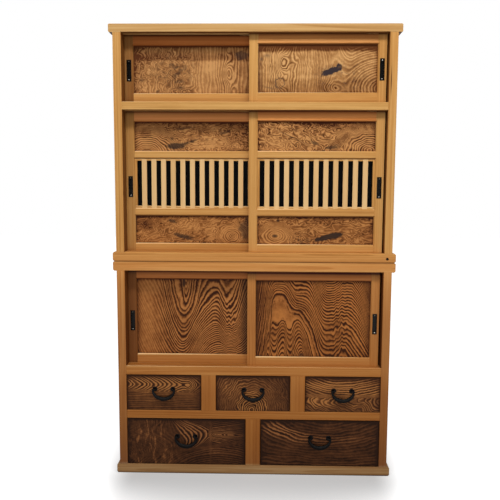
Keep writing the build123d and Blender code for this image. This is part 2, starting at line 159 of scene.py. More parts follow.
class Tree:
    """A material's node tree, with a short call for each kind of node."""

    def __init__(self, name, owner=None):
        self.material = owner or bpy.data.materials.new(name)
        self.material.use_nodes = True
        self.nodes = self.material.node_tree.nodes
        self.links = self.material.node_tree.links
        self.nodes.clear()

    def node(self, kind, inputs=(), **settings):
        made = self.nodes.new("ShaderNode" + kind)
        for name, value in settings.items():
            setattr(made, name, value)
        for key, value in dict(inputs).items():
            if isinstance(value, Value):
                self.links.new(value.socket, made.inputs[key])
            else:
                made.inputs[key].default_value = value
        return made

    def value(self, kind, inputs=(), output=0, **settings):
        """One output of a new node."""
        return Value(self, self.node(kind, inputs, **settings).outputs[output])

    def math(self, kind, *values):
        return self.value("Math", dict(enumerate(values)), operation=kind)

    def clamp(self, value):
        return self.value("Clamp", {"Value": value})

    def spread(self, value, low, high, to_low=0.0, to_high=1.0):
        """Carries low..high to to_low..to_high with soft ends."""
        ends = {"From Min": low, "From Max": high, "To Min": to_low, "To Max": to_high}
        return self.value("MapRange", {"Value": value, **ends}, interpolation_type="SMOOTHSTEP")

    def vector(self, x, y, z):
        return self.value("CombineXYZ", {"X": x, "Y": y, "Z": z})

    def split(self, vector):
        made = self.node("SeparateXYZ", {"Vector": vector})
        return [Value(self, output) for output in made.outputs]

    def attribute(self, name, output):
        return self.value("Attribute", output=output, attribute_name=name)

    def place(self):
        """Where the point is on the object at rest, in metres."""
        return self.split(self.value("TexCoord", output="Object"))

    def noise(self, vector, scale=1.0, detail=2.0, roughness=0.5, distortion=0.0):
        inputs = {"Vector": vector, "Scale": scale, "Detail": detail, "Roughness": roughness,
                  "Distortion": distortion}
        return self.value("TexNoise", inputs, "Fac")

    def ramp(self, value, stops):
        made = self.node("ValToRGB", {"Fac": value})
        elements = made.color_ramp.elements
        while len(elements) < len(stops):
            elements.new(0.5)
        for element, (position, colour) in zip(elements, stops):
            element.position = position
            element.color = colour
        return Value(self, made.outputs["Color"])

    def mix(self, factor, first, second, blend="MIX"):
        return self.value("Mix", {0: factor, 6: first, 7: second}, 2, data_type="RGBA", blend_type=blend)

    def tinted(self, colour, tint, factor=1.0):
        return self.mix(factor, colour, tint, "MULTIPLY")

    def bump(self, height, distance, strength):
        inputs = {"Height": height, "Distance": distance, "Strength": strength}
        return self.value("Bump", inputs, "Normal")

    def surface(self, shader, kind="OutputMaterial"):
        self.links.new(shader.outputs[0], self.node(kind).inputs["Surface"])
        return self.material

    def finish(self, **inputs):
        names = {key.replace("_", " "): value for key, value in inputs.items()}
        return self.surface(self.node("BsdfPrincipled", names))


# ---------------------------------------------------------------- plain timber
LOW_SHADE_TINT = [                    # height over the floor, tint: painted light and shade, the wood darker and redder towards the floor where the light falls off
    (0.036, (0.66, 0.74, 1.0)), (0.045, (0.46, 0.33, 0.28)), (0.13, (0.52, 0.38, 0.28)),
    (0.25, (0.62, 0.46, 0.34)), (0.33, (0.62, 0.46, 0.36)), (0.43, (0.76, 0.60, 0.49)),
    (0.60, (0.76, 0.61, 0.56)), (0.78, (0.88, 0.74, 0.68)), (0.85, (1.04, 0.90, 0.84)),
    (0.92, (1.0, 0.95, 0.9)), (1.1, (1, 1, 1))]
TINT_REACH = 1.1                 # from here up no painted shade darkens the wood
SHADE_AND_STAIN_TINT = (0.06, 0.014, 0.006, 1)      # of the painted shade where one timber meets another or passes under another, and of a dark stain in a post
DOOR_SHADE_LINES = ((1.729, 0.0045), (1.442, 0.0085), (0.8160, 0.0090))    # height and reach of a painted shadow line under an overhanging timber
CASE_SHADE_LINES = ((0.862, 0.0016), (0.0, 0.0035))    # painted shade lines: under the upper chest, and at the floor
POST_STAIN = (0.5135, 1.554)             # middle of a dark streak in the right upper post
POST_STAIN_SIZE = (0.0022, 0.050)
ARRIS_HIGHLIGHT = linear(248, 208, 150)        # pale colour of a painted highlight along a chamfered arris
UNDERSIDE_SHADE_TINT = (0.30, 0.22, 0.16, 1)      # of the painted shade on undersides and on the posts' inner faces
REVEAL_OUT = 0.5045              # the posts' inner faces: how far from the middle at most,
REVEAL_AHEAD = 0.130             # and how far forward at least
FACING = (0.4, 0.9)              # of a normal: where a face starts and ends to count as turned that way
RING = 0.0035                    # a year's growth


def straight_wood(name, light, middle, dark, contrast=1.3, low_shade=False, shade_lines=(), case=False):
    """Straight-grained timber that follows each board's own grain. Painted shade can darken and redden it
    towards the floor; painted shade also lies in its joints, under overhangs, on undersides and, on the
    case, on the posts' inner faces; marked chamfers carry a pale painted highlight.
    """
    t = Tree(name)
    along, across, deep = t.split(t.attribute("grain", "Vector"))

    def grained(lengthways, sideways, detail, roughness=0.5):
        point = t.vector(along * lengthways, across * sideways, deep * sideways)
        return t.noise(point, detail=detail, roughness=roughness)

    drift = grained(1.3, 9.0, 1.0)
    streak = grained(1.3, 130.0, 3.0, 0.6)
    fibre = grained(30.0, 1500.0, 2.0)
    cloud = grained(3.0, 14.0, 2.0)
    ring_at = (((across * across + deep * deep).root() + drift * 0.011) / RING).fract()
    late = t.spread(ring_at, 0.35, 0.95) - t.spread(ring_at, 0.95, 1.0)
    shade = (late * 0.22 * contrast + (streak - 0.5) * 0.85 * contrast
             + (fibre - 0.5) * 0.45 + (cloud - 0.5) * 0.5 + t.attribute("tone", "Fac") * 0.12 + 0.40)
    colour = t.ramp(t.clamp(shade), [(0.0, light), (0.5, middle), (1.0, dark)])
    x, y, z = t.place()
    # painted shade: darker and redder towards the floor
    if low_shade:
        tints = [(height / TINT_REACH, (*tint, 1)) for height, tint in LOW_SHADE_TINT]
        colour = t.tinted(colour, t.ramp(z / TINT_REACH, tints))
    # each board's tint: its own colour, and on door heads and left stiles painted light and shade
    colour = t.tinted(colour, t.attribute("tint", "Color"))
    facing = t.split(t.value("NewGeometry", output="True Normal"))
    # painted shade on faces turned downwards
    colour = t.tinted(colour, UNDERSIDE_SHADE_TINT, t.spread(-facing[2], *FACING))
    # painted shade in the joints and under the overhangs
    for seam, reach in shade_lines:
        seam_shade = (abs(z - seam) / -reach).exp()
        colour = t.tinted(colour, SHADE_AND_STAIN_TINT, t.clamp(seam_shade * (0.95 + cloud * 0.4)))
    # On the case: painted shade on the posts' inner faces, and a dark stain in the right upper post.
    if case:
        inner = (t.spread(abs(facing[0]), *FACING) * t.spread(-y, REVEAL_AHEAD - 0.005, REVEAL_AHEAD)
                 * t.spread(-abs(x), -REVEAL_OUT - 0.002, -REVEAL_OUT))
        colour = t.tinted(colour, UNDERSIDE_SHADE_TINT, inner)
        aside, up = ((value - at) / size for value, at, size in zip((x, z), POST_STAIN, POST_STAIN_SIZE))
        colour = t.tinted(colour, SHADE_AND_STAIN_TINT, t.clamp(bell(aside, up) * (0.5 + cloud * 0.7)))
    # pale painted highlight on the marked chamfers
    painted_highlight = t.attribute("painted_highlight", "Fac") * (0.65 + cloud * 0.5)
    return t.finish(Base_Color=t.mix(painted_highlight, colour, ARRIS_HIGHLIGHT), Roughness=0.5, Specular_IOR_Level=0.08,
                    Normal=t.bump(fibre * 0.5 + late * 0.5, 0.00025, 0.5))


# ---------------------------------------------------------------- figured boards
CENTIMETRES = 100                # in a metre


class Figure:
    """The grain of one board's face, drawn in centimetres from its lower left corner.

    Lines of growth lie where a height field passes whole numbers, so a hill gives rings,
    a trough nested cups, and a slope straight lines.
    """

    def __init__(self, name, corner, size, seed):
        self.tree = Tree(name)
        self.over = self.tree.spread
        x, _, z = self.tree.place()
        self.u = (x - corner[0]) * CENTIMETRES
        self.v = (z - corner[1]) * CENTIMETRES
        self.width, self.height = (CENTIMETRES * s for s in size)
        self.seed = seed
        self.bold = 1.0          # strength of the dark lines
        self.uneven = 1.2        # how much their spacing varies
        self.gold = 0.25         # strength of the pale lines beside them
        self.stain = 0.0         # how far the board is stained
        self.deep = 0.0          # how far it is darker than its middle colour

    def curve(self, value, points):
        """A smooth curve through a flat row of value, result, value, result."""
        places, results = points[::2], points[1::2]
        low, high = places[0], places[-1]
        bottom, top = min(results), max(results)
        made = self.tree.node("FloatCurve", {"Value": (value - low) / (high - low)})
        line = made.mapping.curves[0]
        while len(line.points) < len(places):
            line.points.new(0.5, 0.5)
        for point, place, result in zip(line.points, places, results):
            point.location = ((place - low) / (high - low), (result - bottom) / (top - bottom))
            point.handle_type = "AUTO_CLAMPED"
        made.mapping.update()
        return Value(self.tree, made.outputs[0]) * (top - bottom) + bottom

    def between(self, along, across, contours):
        """Rings spread evenly between lines of growth, each a ring number and a row of points."""
        lines = [(number, self.curve(along, points)) for number, points in contours]
        rings = lines[0][0]
        last = len(lines) - 2
        for i, ((first, low), (second, high)) in enumerate(zip(lines, lines[1:])):
            share = (across - low) / (high - low)
            if i > 0:
                share = share.most(0.0)
            if i < last:
                share = share.least(1.0)
            rings = rings + share * (second - first)
        return rings

    def hill(self, u, v, across, up):
        """1 at a point, falling to nothing some sizes away."""
        return bell((self.u - u) / across, (self.v - v) / up)

    def band(self, from_u, from_v, to_u, to_v, width):
        """1 along a line, falling off beside it and past its ends."""
        run = Vector((to_u - from_u, to_v - from_v))
        along = run.normalized()
        du, dv = self.u - (from_u + to_u) / 2, self.v - (from_v + to_v) / 2
        lengthways = (du * along.x + dv * along.y) / (run.length / 2)
        return bell(lengthways, (dv * along.x - du * along.y) / width)

    def distance(self, u, v, wide, tall):
        du, dv = (self.u - u) * wide, (self.v - v) * tall
        return (du * du + dv * dv).root()

    def rough(self, size, detail=1.0, stretch=(1, 1), shift=0, swirl=0.0):
        """Noise about 0, with features of about that size in centimetres."""
        point = self.tree.vector(self.u / (size * stretch[0]), self.v / (size * stretch[1]),
                                 self.seed + shift)
        return self.tree.noise(point, detail=detail, distortion=swirl) - 0.5

    def patch(self, area, size=1.1, low=0.3, high=0.75):
        """An area with a ragged edge."""
        return self.over(area + self.rough(size, 3.0, shift=13, swirl=0.8) * 1.1, low, high)

    def specks(self, area, size, threshold):
        return area * self.over(self.rough(size, 3.0, shift=11, swirl=1.0), threshold, threshold + 0.12)

    def overhang_shadow(self, height):
        """A painted shadow over a board's top, cast by the overhang above it."""
        return self.over(self.v + self.rough(4, 2.0, (2, 1), 41) * 1.6, height - 0.5, height + 0.7)

    def join(self, share, first, second):
        """First where share is 0, second where it is 1, the lines fading where they meet."""
        self.bold = self.bold * abs(share * 2 - 1)
        return first + (second - first) * share

    def burl(self, size=4.5):
        """A restless field, its lines about a centimetre apart."""
        return self.rough(size, 1.2, (1.25, 1), 23, 1.4) * 7

    def patches(self, size=3.2):
        """Pale and dark areas with soft, drawn-out edges."""
        return self.rough(size, 3.0, (1.4, 1), 29, 1.2)

    def knot(self, at, squash, pitch, reach, wild, bent):
        """Rings round a point, more or less bent, that give way to a wilder field."""
        away = self.distance(*at, *squash) * (1 + self.rough(3.5, 1, shift=31) * bent)
        count = reach / pitch
        rings = self.curve(away, (0, 0, reach, count, reach * 1.5, count * 1.2, 80, count * 1.3))
        return rings + wild * self.over(away, reach * 0.7, reach * 1.3)


def figured_wood(draw, colours, area, seed, upright):
    """A board whose lines and stains are drawn by a function of its Figure."""
    light, middle, dark, stain = colours
    f = Figure(draw.__name__, *area, seed)
    t = f.tree
    rings = draw(f) + f.rough(0.9, shift=1) * 0.35
    uneven = t.noise(t.vector(rings * 0.42, seed, 0.0), detail=1.0) - 0.5
    rings = rings + uneven * f.uneven
    share = rings.fract()
    own = t.noise(t.vector(rings.floor() * 7.73, seed, 3.1), detail=0.0)
    weight = f.over(own, 0.3, 0.7) * 0.55 + 0.6
    line = (f.over(share, 0.0, 0.18) - f.over(share, 0.24, 0.7)) * weight
    gold = (f.over(share, 0.5, 0.85) - f.over(share, 0.9, 1.0)) * weight
    threads = t.noise(t.vector(rings * 1.7, seed + 9.0, 0.0), detail=3.0, roughness=0.65) - 0.5
    fibre = f.rough(0.8, 3.0, (0.12, 1.5) if upright else (1.5, 0.12), 3)
    cloud = f.rough(8.0, 2.0, shift=5)
    mottle = f.rough(1.6, 3.0, shift=7)
    from_top = f.height - f.v
    side = f.u.least(f.width - f.u)
    # dirt and painted shade along the panel's edges, most at the top, under the rail's shadow
    edge_dirt_and_shade = (side * -1.1).exp() * 0.6 + (f.v.least(from_top) * -2.2).exp() * 0.3 + (from_top * -2.2).exp()
    shade = (line * 0.9 * f.bold - gold * f.gold + threads * (f.bold * 0.4 + 0.35) + cloud * 0.5
             + mottle * 0.5 + fibre * 0.55 + edge_dirt_and_shade + f.deep + 0.30)
    colour = t.ramp(t.clamp(shade), [(0.0, light), (0.42, middle), (1.0, dark)])
    return t.finish(Base_Color=t.mix(t.clamp(f.stain), colour, stain), Roughness=0.5,
                    Specular_IOR_Level=0.06, Normal=t.bump(line * f.bold * 0.6 + fibre, 0.0003, 0.5))


# Each contour below is one line of growth across the board: along, across, and so on.
CUPS = [
    (0, (-1, 100, 14, 60, 17.3, 38, 18.2, 29.6, 18.8, 24, 19.6, 21.3, 20.5, 22.6, 21.2, 25.6, 21.8, 30,
         23.5, 42, 30, 60, 47, 80)),
    (1, (-1, 90, 12, 45, 15.1, 29.6, 15.9, 26, 16.8, 22, 17.8, 19.2, 19, 18.4, 20.8, 19.9, 21.9, 23.6,
         22.6, 29.6, 24.5, 38, 31.5, 52, 36.5, 48, 47, 70)),
    (2, (-1, 80, 11, 42, 14, 29.6, 15.3, 22.6, 16.5, 18.8, 17.7, 16.8, 18.8, 16.1, 20.8, 17.9, 22.3, 20.6,
         23.1, 24.6, 23.8, 29.6, 25.5, 36, 31.5, 43, 36.5, 38, 47, 60)),
    (3, (-1, 70, 9, 46, 12.9, 29.6, 14.6, 20.6, 15.8, 17, 17.1, 14.3, 18.6, 12.9, 20.8, 14.6, 22.3, 17.1,
         23.8, 20.6, 24.8, 24.6, 25.8, 29.6, 28, 33.5, 31.5, 36, 34.5, 33, 36.2, 30.5, 39, 33, 47, 50)),
    (5, (-1, 60, 7, 44, 11.7, 29.6, 12.3, 25, 13.3, 20.6, 14.5, 16.6, 15.8, 13.2, 17, 10.6, 18.2, 9.5,
         19.3, 9.6, 20.8, 11.1, 22.6, 14.6, 24, 17.6, 25.3, 20.6, 27.3, 24.6, 29.3, 27, 31.6, 27.7, 33.6,
         25.8, 35.1, 22.8, 36.2, 20.8, 37.1, 21.9, 38.6, 23.9, 39.5, 26.6, 40.3, 29.6, 42, 36, 47, 48)),
    (7, (-1, 50, 5, 40, 9.9, 29.6, 11.1, 22.5, 12.6, 17, 14.2, 12, 15.6, 8.6, 17, 6.4, 18.3, 5.5, 19.6,
         6.1, 21, 8.1, 22.8, 11.6, 24.6, 15, 26.6, 18, 28.8, 20.6, 30.8, 22.8, 32.3, 23.8, 34, 20.5, 35.6,
         17.8, 37, 17.6, 38.5, 18.6, 39.8, 20.6, 41, 24, 42, 29, 47, 42)),
    (10, (-1, 41, 3, 34, 6.5, 27, 9, 20.5, 10.9, 15, 12.6, 10.5, 14.4, 6.2, 16, 3.4, 18, 2.2, 20, 3.2,
         22.3, 7.1, 24.3, 10.6, 26.3, 13.6, 28.8, 16.6, 31.6, 18.6, 33, 17.5, 34.8, 14.2, 36.5, 12, 38,
         11.9, 39.8, 13.1, 41.3, 16.6, 42.8, 21.6, 47, 33)),
    (14, (-1, 31, 2, 24, 5, 17, 7.7, 11, 10, 6, 12.5, 1.2, 15, -1.6, 18, -2.6, 20.8, -1, 22.8, 2.6, 24.8,
         6.6, 26.8, 9.6, 29.3, 11.6, 31.6, 12.8, 33.5, 11.6, 35, 9.4, 37, 8.2, 39, 8.6, 40.8, 10.6, 42.8,
         14.6, 47, 24)),
    (20, (-1, 19, 2, 12, 5, 5, 8, -2, 12, -8, 18, -10, 21, -6, 24, 0, 27, 4.6, 30, 7, 32.5, 7.8, 35, 6,
         37, 4.6, 39, 4.8, 41, 6.5, 47, 15)),
    (26, (-1, 5, 5, -8, 18, -18, 24, -8, 27.5, -1, 31, 2, 34, 2.4, 37, 0.6, 40, 1, 47, 7)),
]
HILL_TOP = (-1, -18, 3, -12, 5.5, 0, 6.3, 14, 6.7, 20.4, 7.7, 23.6, 8.9, 24.1, 10.4, 23.4, 11.9, 21.7,
    12.9, 19.9, 13.6, 18.4, 15.4, 17.9, 16.9, 17.7, 18.1, 16.4, 19.4, 14.4, 20.4, 12.9, 21.9, 9.4, 23.4,
    4.4, 24.9, 0, 28.4, -5.6, 31.4, -4.6, 34.7, 0.4, 37.4, -3.6, 47, -18)
HILL_FOOT = (-1, -24, 3, -16, 5.2, -4, 5.9, 8, 6.7, 14.2, 7.7, 13.2, 8.7, 12.7, 9.8, 14.2, 10.7, 14.9,
    11.8, 13.7, 12.8, 11.6, 13.7, 11.4, 14.7, 13.4, 15.7, 14.6, 16.5, 15, 17.6, 14.3, 19, 12, 20.4, 8.8,
    21.4, 5.8, 22.4, 1.4, 23.8, -4, 28, -14, 34, -10, 47, -28)
FOLDS = [
    (0, (-1, 15.4, 2.4, 42.4, 8.4, 47.4, 14.4, 43.4, 21.4, 39.4, 24.4, 35.4, 25.7, 32.4, 26.9, 29.9, 28.4,
         27.9, 30.4, 28, 32.4, 28.9, 34.9, 31.4, 37.4, 31.4, 39.4, 29.4, 41.4, 26.4, 43.4, 21.4, 47, 12)),
    (7, (-1, 0.4, 0.4, 15.4, 1.4, 28.4, 3.4, 36.4, 8.4, 40.4, 14.4, 36.4, 18.4, 35.4, 21.4, 33.9, 22.9,
         30.9, 23.9, 28.4, 24.9, 25.9, 25.9, 23.4, 26.9, 22, 28.4, 21.3, 30.4, 21.4, 32.4, 22.4, 34.9,
         23.4, 36.9, 23.4, 38.9, 21.9, 40.9, 18.9, 42.9, 14.4, 47, 4)),
    (13, (-1, -8, 1.9, 0.4, 2.7, 15.4, 3.4, 22.4, 4.4, 28.4, 5.4, 31.4, 8.4, 33.4, 12.4, 30.4, 13.4, 28.9,
         14.4, 27.4, 15.6, 26, 17.4, 25.9, 19.4, 26, 20.9, 25.4, 21.9, 23.9, 22.9, 21.9, 23.9, 19.4, 24.9,
         17.4, 25.9, 15.6, 26.9, 14.2, 28.4, 13.6, 30.9, 13.9, 32.4, 14.9, 34.9, 15.9, 36.9, 15.2, 38.9,
         13.4, 40.9, 10.9, 42.9, 7.4, 47, 0)),
    (16, (-1, -12, 3.4, 0.4, 4.2, 15.4, 5, 22.4, 5.9, 26.9, 6.9, 28.7, 8.4, 29.4, 10.4, 29.4, 12.4, 28.7,
         13.7, 26.9, 14.9, 24.9, 15.9, 23.4, 17.4, 22.7, 19.4, 21.9, 20.9, 20.4, 22.4, 18.1, 23.4, 15.9,
         24.4, 13.4, 25.4, 10.9, 26.4, 8.9, 27.4, 7.4, 28.4, 6.8, 30.4, 6.8, 32.4, 7.9, 34.7, 9.7, 36.9,
         9.2, 38.9, 6.9, 41.4, 3.4, 47, -6)),
    (18, (-1, -14, 4, 0, 4.8, 15.4, 5.4, 20.4, 6.2, 25.4, 7.2, 27.4, 8.7, 28, 10.4, 27.7, 11.9, 26.6,
         13.4, 24.6, 14.7, 22.4, 15.9, 20.9, 17.9, 20.4, 19.9, 19.4, 21.4, 17.4, 22.4, 15.4, 23.4, 12.9,
         24.4, 9.9, 25.4, 6.9, 26.4, 4.9, 27.4, 3.7, 28.4, 3.3, 30.4, 3.3, 32.4, 4.7, 34.7, 6.4, 36.4,
         5.7, 38.4, 3.4, 40.4, 0.4, 47, -10)),
    (20, (-1, -16, 4.7, 0, 5.5, 12.4, 6, 18.4, 6.4, 22.9, 7.3, 25.4, 8.6, 26.3, 10.4, 25.9, 11.7, 24.9,
         13.2, 22.7, 14.4, 20.4, 15.7, 19.4, 17.4, 19, 18.9, 17.9, 20.4, 15.9, 21.4, 14.4, 22.4, 12.4,
         23.4, 9.4, 24.4, 5.9, 25.4, 2.4, 26.4, 0.4, 28.4, -0.8, 30.4, -0.8, 32.4, 1.2, 34.7, 4, 36.7, 2,
         38.4, -0.6, 47, -14)),
    (21, HILL_TOP),
    (22, HILL_FOOT),
    (26, (-1, -30, 3, -10, 4.4, 10.4, 5.9, 7.4, 7.4, 4.9, 9.2, 8.4, 11, 10, 11.9, 7.4, 12.9, 3.4, 13.9,
         2.4, 15.2, 6.9, 16.1, 9.1, 17, 9.8, 18.2, 8.7, 19.4, 5.6, 20.4, 1.4, 21.4, -5, 28, -24, 47,
         -36)),
    (29, (-1, -36, 3, -16, 4.4, 4, 7.4, -3, 9.2, 2, 11, 4, 13, -6, 15, -2, 16.6, 3.6, 17.8, 5.1, 19, 3.6,
         20, -2, 28, -34, 47, -46)),
]
BOW = [
    (0, (-1, 11, 6, 20, 9, 22.5, 10.6, 21.9, 13.7, 19.3, 16.7, 17.8, 19.5, 16.5)),
    (4, (-1, 13, 4, 21, 7, 25.4, 9.6, 28.2, 12.1, 28.9, 14.7, 26.4, 17.8, 20.9, 19.5, 19)),
    (6, (-1, 14, 5.5, 23.4, 7.5, 27.4, 10.1, 30.4, 12.6, 31.8, 15.2, 29.4, 17.8, 23.4, 19.5, 21)),
]


def nested_cups(f):
    """Lower left door: cups that open upwards, a steep crest on the right, straight grain left."""
    ripple = (f.u * 3.1 + f.rough(3) * 7).sine() * f.hill(38, 10, 4, 9) * 0.3
    seam = f.hill(34, 17, 1.5, 8)
    f.uneven = 0.6
    f.bold = f.over(f.u, 6, 14) * 0.85 + 0.1 - seam * 0.5
    f.gold = f.over(f.u, 20, 30) * 0.45 + 0.2
    # the band down the right edge is painted shade, where the front door's stile shades the panel
    f.stain = (f.over(f.hill(18.9, 29, 0.8, 2.2), 0.4, 0.7) * 0.9
               + f.over(f.u + f.rough(3) * 2, 40.5, 43.5) * 0.6)
    # lighter over the top few centimetres: painted light that lifts the shadow under the waist
    f.deep = seam * 0.3 - f.hill(3, 16, 5, 18) * 0.1 - f.over(f.v, 23, 28) * 0.15 + 0.03
    return f.between(f.u, f.v, CUPS) + ripple + f.rough(4) * 0.7


def folded_hills(f):
    """Lower right door: a bare hill on the left, arches below it, a trough and a crest right."""
    ripple = (f.u * 3 + f.rough(3) * 6).sine() * f.hill(33.5, 15, 3, 14) * 0.3
    under = f.curve(f.u, HILL_TOP) - f.v
    above = f.v - f.curve(f.u, HILL_FOOT)
    bare = f.over(under, 0.5, 1.3) * f.over(above, 0.5, 1.3)
    seam = f.hill(32.7, 12, 1.2, 14)
    f.uneven = 0.6
    f.bold = 1 - bare * 0.9 - seam * 0.45
    f.gold = f.over(f.u + f.v, 38, 55) * 0.45 + 0.15
    # darker at the left and right edges: painted shade beside the stiles; lighter near the top: painted
    # light that lifts the shadow under the waist
    f.deep = (bare * -0.12 + seam * 0.12 + f.over(-f.u, -5, -1) * 0.2 + f.over(f.u, 42, 45) * 0.15
              - f.over(f.v, 24, 28.5) * 0.1)
    f.stain = f.over(f.hill(18.2, 0.6, 1, 1.1), 0.4, 0.7) * 0.7
    return f.between(f.u, f.v, FOLDS) + ripple + f.rough(4) * 0.7


def burl_left(f):
    """Top left door: pale burl, a cloud of dark specks, upright lines and an eye on the right."""
    left = 1 - f.over(f.u, 19, 27)
    eye = (f.hill(36.7, 7.8, 1.7, 3.4) * 4.2 + f.hill(38.4, 0.6, 1.5, 3) * 3.2
           + f.hill(36.4, 16.5, 1.2, 2.2) * 2)
    cloud = f.hill(15.5, 8.6, 7, 6)
    drops = (f.hill(9.2, 0.8, 0.7, 0.5) + f.hill(18, 2.2, 1.3, 0.6) + f.hill(3, 5, 0.8, 0.6))
    smear = f.patch(f.band(15.2, 4, 19.5, 5.2, 0.7), 0.9)
    f.stain = (f.specks(cloud * 1.2, 2.2, -0.02) * 0.55 + drops * 0.6 + smear * 0.5
               + f.patch(f.hill(41.8, 14.4, 3, 2.2)) * 0.7)
    # the last two terms paint the top board's shadow across the panel's upper part, with painted light
    # near its top edge
    f.deep = (f.patches() * 0.6 + cloud * 0.15 - f.hill(30, 9, 7, 8) * 0.16
              + f.hill(1, 12, 3, 9) * 0.2 - f.hill(36.9, 7.6, 1.3, 2.6) * 0.35
              + f.overhang_shadow(12.4) * 0.46 - f.over(f.v, 13.5, 17) * 0.36)
    f.bold = 0.1 + left * 0.26 + f.hill(38, 7, 4.5, 11) * 0.95 + f.hill(18, 1, 5, 3) * 0.5
    arc = f.hill(18.5, 0.2, 3.5, 2.6) * 3
    return f.u * 0.8 + f.burl() * left + f.rough(5, 1, (1, 2)) * 2.5 + eye + arc


def burl_right(f):
    """Top right door: two eyes on the left, a blue-black streak, fans on the right."""
    rounds = f.hill(9.6, 11.5, 2.3, 3.6) * 4.8 + f.hill(8.8, 3.4, 2, 2.6) * 3.6
    swirl = f.hill(27.7, 1.4, 4, 2.2) * 3.2
    fan = 41 - f.distance(47, 1.5, 0.85, 1.1)
    away = f.over(f.u, 27, 36)
    base = f.u + f.rough(5, 1, (1, 1.6), swirl=0.5) * 4.5
    outline = f.hill(8.3, 3.4, 1.9, 2.2) + f.rough(1.2, 2, shift=17) * 0.8
    streak = f.patch(f.band(23.4, 6.3, 31.2, 9.4, 1.3) * 1.2 + f.hill(31, 9.8, 1.2, 1.6) * 0.6,
                     1.5, 0.4, 0.75)
    halo = f.patch(f.band(22, 8, 34, 8.4, 2.4), 1.4, 0.3, 0.9)
    drops = (f.hill(1.2, 12.5, 0.6, 0.7) + f.hill(3.4, 13.8, 1.4, 0.7) * 0.8
             + f.band(2, 2.2, 6.5, 1.4, 0.35) * 0.7 + f.hill(0, 7, 1.4, 8) * 0.5)
    f.stain = (streak * 0.85 + (f.over(outline, 0.3, 0.42) - f.over(outline, 0.5, 0.62)) * 0.6
               + drops * 0.6 + halo * 0.2 + f.specks(f.hill(31, 5, 10, 6), 1.3, 0.04) * 0.45)
    # the last term paints the top board's shadow across the panel's top
    f.deep = (f.patches() * 0.5 + f.hill(31, 4, 10, 5) * 0.14 - f.hill(9, 9, 6, 8) * 0.2
              - f.specks(f.hill(38.8, 8.3, 1, 2.6), 0.7, 0.05) * 0.7
              + f.over(-f.v, -6, -4) * 0.2 + f.overhang_shadow(15.4) * 0.7)
    f.bold = 0.15 + f.hill(9, 8, 4.5, 9) * 0.8 + f.hill(27.7, 2, 4, 2) * 0.5 + f.over(f.u, 30, 36) * 0.2
    return base + (fan - base) * away + rounds + swirl


def rainbow(f):
    """Upper panel of the middle left door: nested arches left, burl and dark patches right."""
    dark = f.patch(f.hill(16, 2, 3.8, 1.2) * 1.35 + f.band(19.5, 2.8, 25.5, 4.8, 0.7) * 0.8,
                   1.1, 0.35, 0.8)
    second = f.patch(f.band(32, 6.5, 38.5, 7.9, 0.8), 0.9, 0.4, 0.8)
    f.stain = (dark * 0.85 + second * 0.5 + f.hill(14.6, 4.8, 0.5, 0.5) * 0.8
               + f.patch(f.band(15, 8.3, 24, 9.3, 0.5)) * 0.5
               + f.specks(f.hill(32, 8, 12, 5), 1.8, 0.06) * 0.5)
    f.deep = (f.patches(4) * 1.2 + f.hill(17, 5, 6, 4) * 0.15 - f.hill(30, 1.5, 9, 2) * 0.3
              + f.hill(42, 7, 4, 6) * 0.35 + f.hill(24, 11, 12, 2) * 0.25)
    f.bold = 0.42 + f.hill(9, 5, 7, 6) * 0.6
    f.gold = 0.25 + f.hill(9, 5, 7, 6) * 0.3
    f.uneven = 0.5
    return f.knot((4.6, -1.5), (0.85, 1.1), 0.82, 10.5, f.burl() + f.v * 0.8, 0.22)


def speckled(f):
    """Upper panel of the middle right door: burl, slanting lines, arcs on the right."""
    smudge = f.patch(f.band(19.5, 3.8, 24, 2.4, 0.9) + f.band(24.5, 1, 33, 2, 1), 0.9, 0.4, 0.9)
    f.stain = (f.band(6.5, 8.3, 18, 3, 0.22) * 0.6 + f.band(12, 9, 16.5, 7, 0.2) * 0.5
               + smudge * 0.7 + f.specks(f.hill(14, 6, 14, 6), 1.2, 0.1) * 0.6)
    f.deep = (f.patches(3) * 1.3 - f.hill(8, 4, 8, 4) * 0.2 + f.hill(28, 10.2, 14, 1.8) * 0.5
              - f.hill(38, 3, 8, 4) * 0.1)
    f.bold = 0.55 + f.hill(40, 4, 8, 6) * 0.2
    f.gold = 0.4
    f.uneven = 0.6
    return f.knot((43, 0.5), (0.7, 1.05), 0.85, 9, f.burl(4) + f.u * 0.4 + f.v * 0.6, 0.3)


def small_eye(f):
    """Lower panel of the middle left door: burl with a ringed eye near the right end."""
    streak = f.patch(f.band(13.5, 3.8, 24, 1.4, 1.1) + f.band(12, 9.2, 17, 8.2, 1) * 0.8,
                     1.2, 0.3, 0.85)
    f.stain = streak * 0.8 + f.patch(f.hill(43.6, 6, 3.2, 5), 2) * 0.65
    f.deep = (f.patches(4) + f.hill(20, 3, 9, 3) * 0.12 - f.hill(24, 6.5, 9, 1.6) * 0.3
              - f.hill(37, 4, 5, 4) * 0.2 + f.hill(3, 9, 7, 4) * 0.25)
    f.bold = 0.42 + f.hill(38.4, 2.9, 4, 4) * 0.2
    f.gold = 0.25 + f.hill(38.4, 2.9, 4, 4) * 0.5
    return f.knot((38.4, 2.9), (0.85, 1.05), 0.8, 4.8, f.burl() + f.v * 0.8 - f.u * 0.3, 0.4)


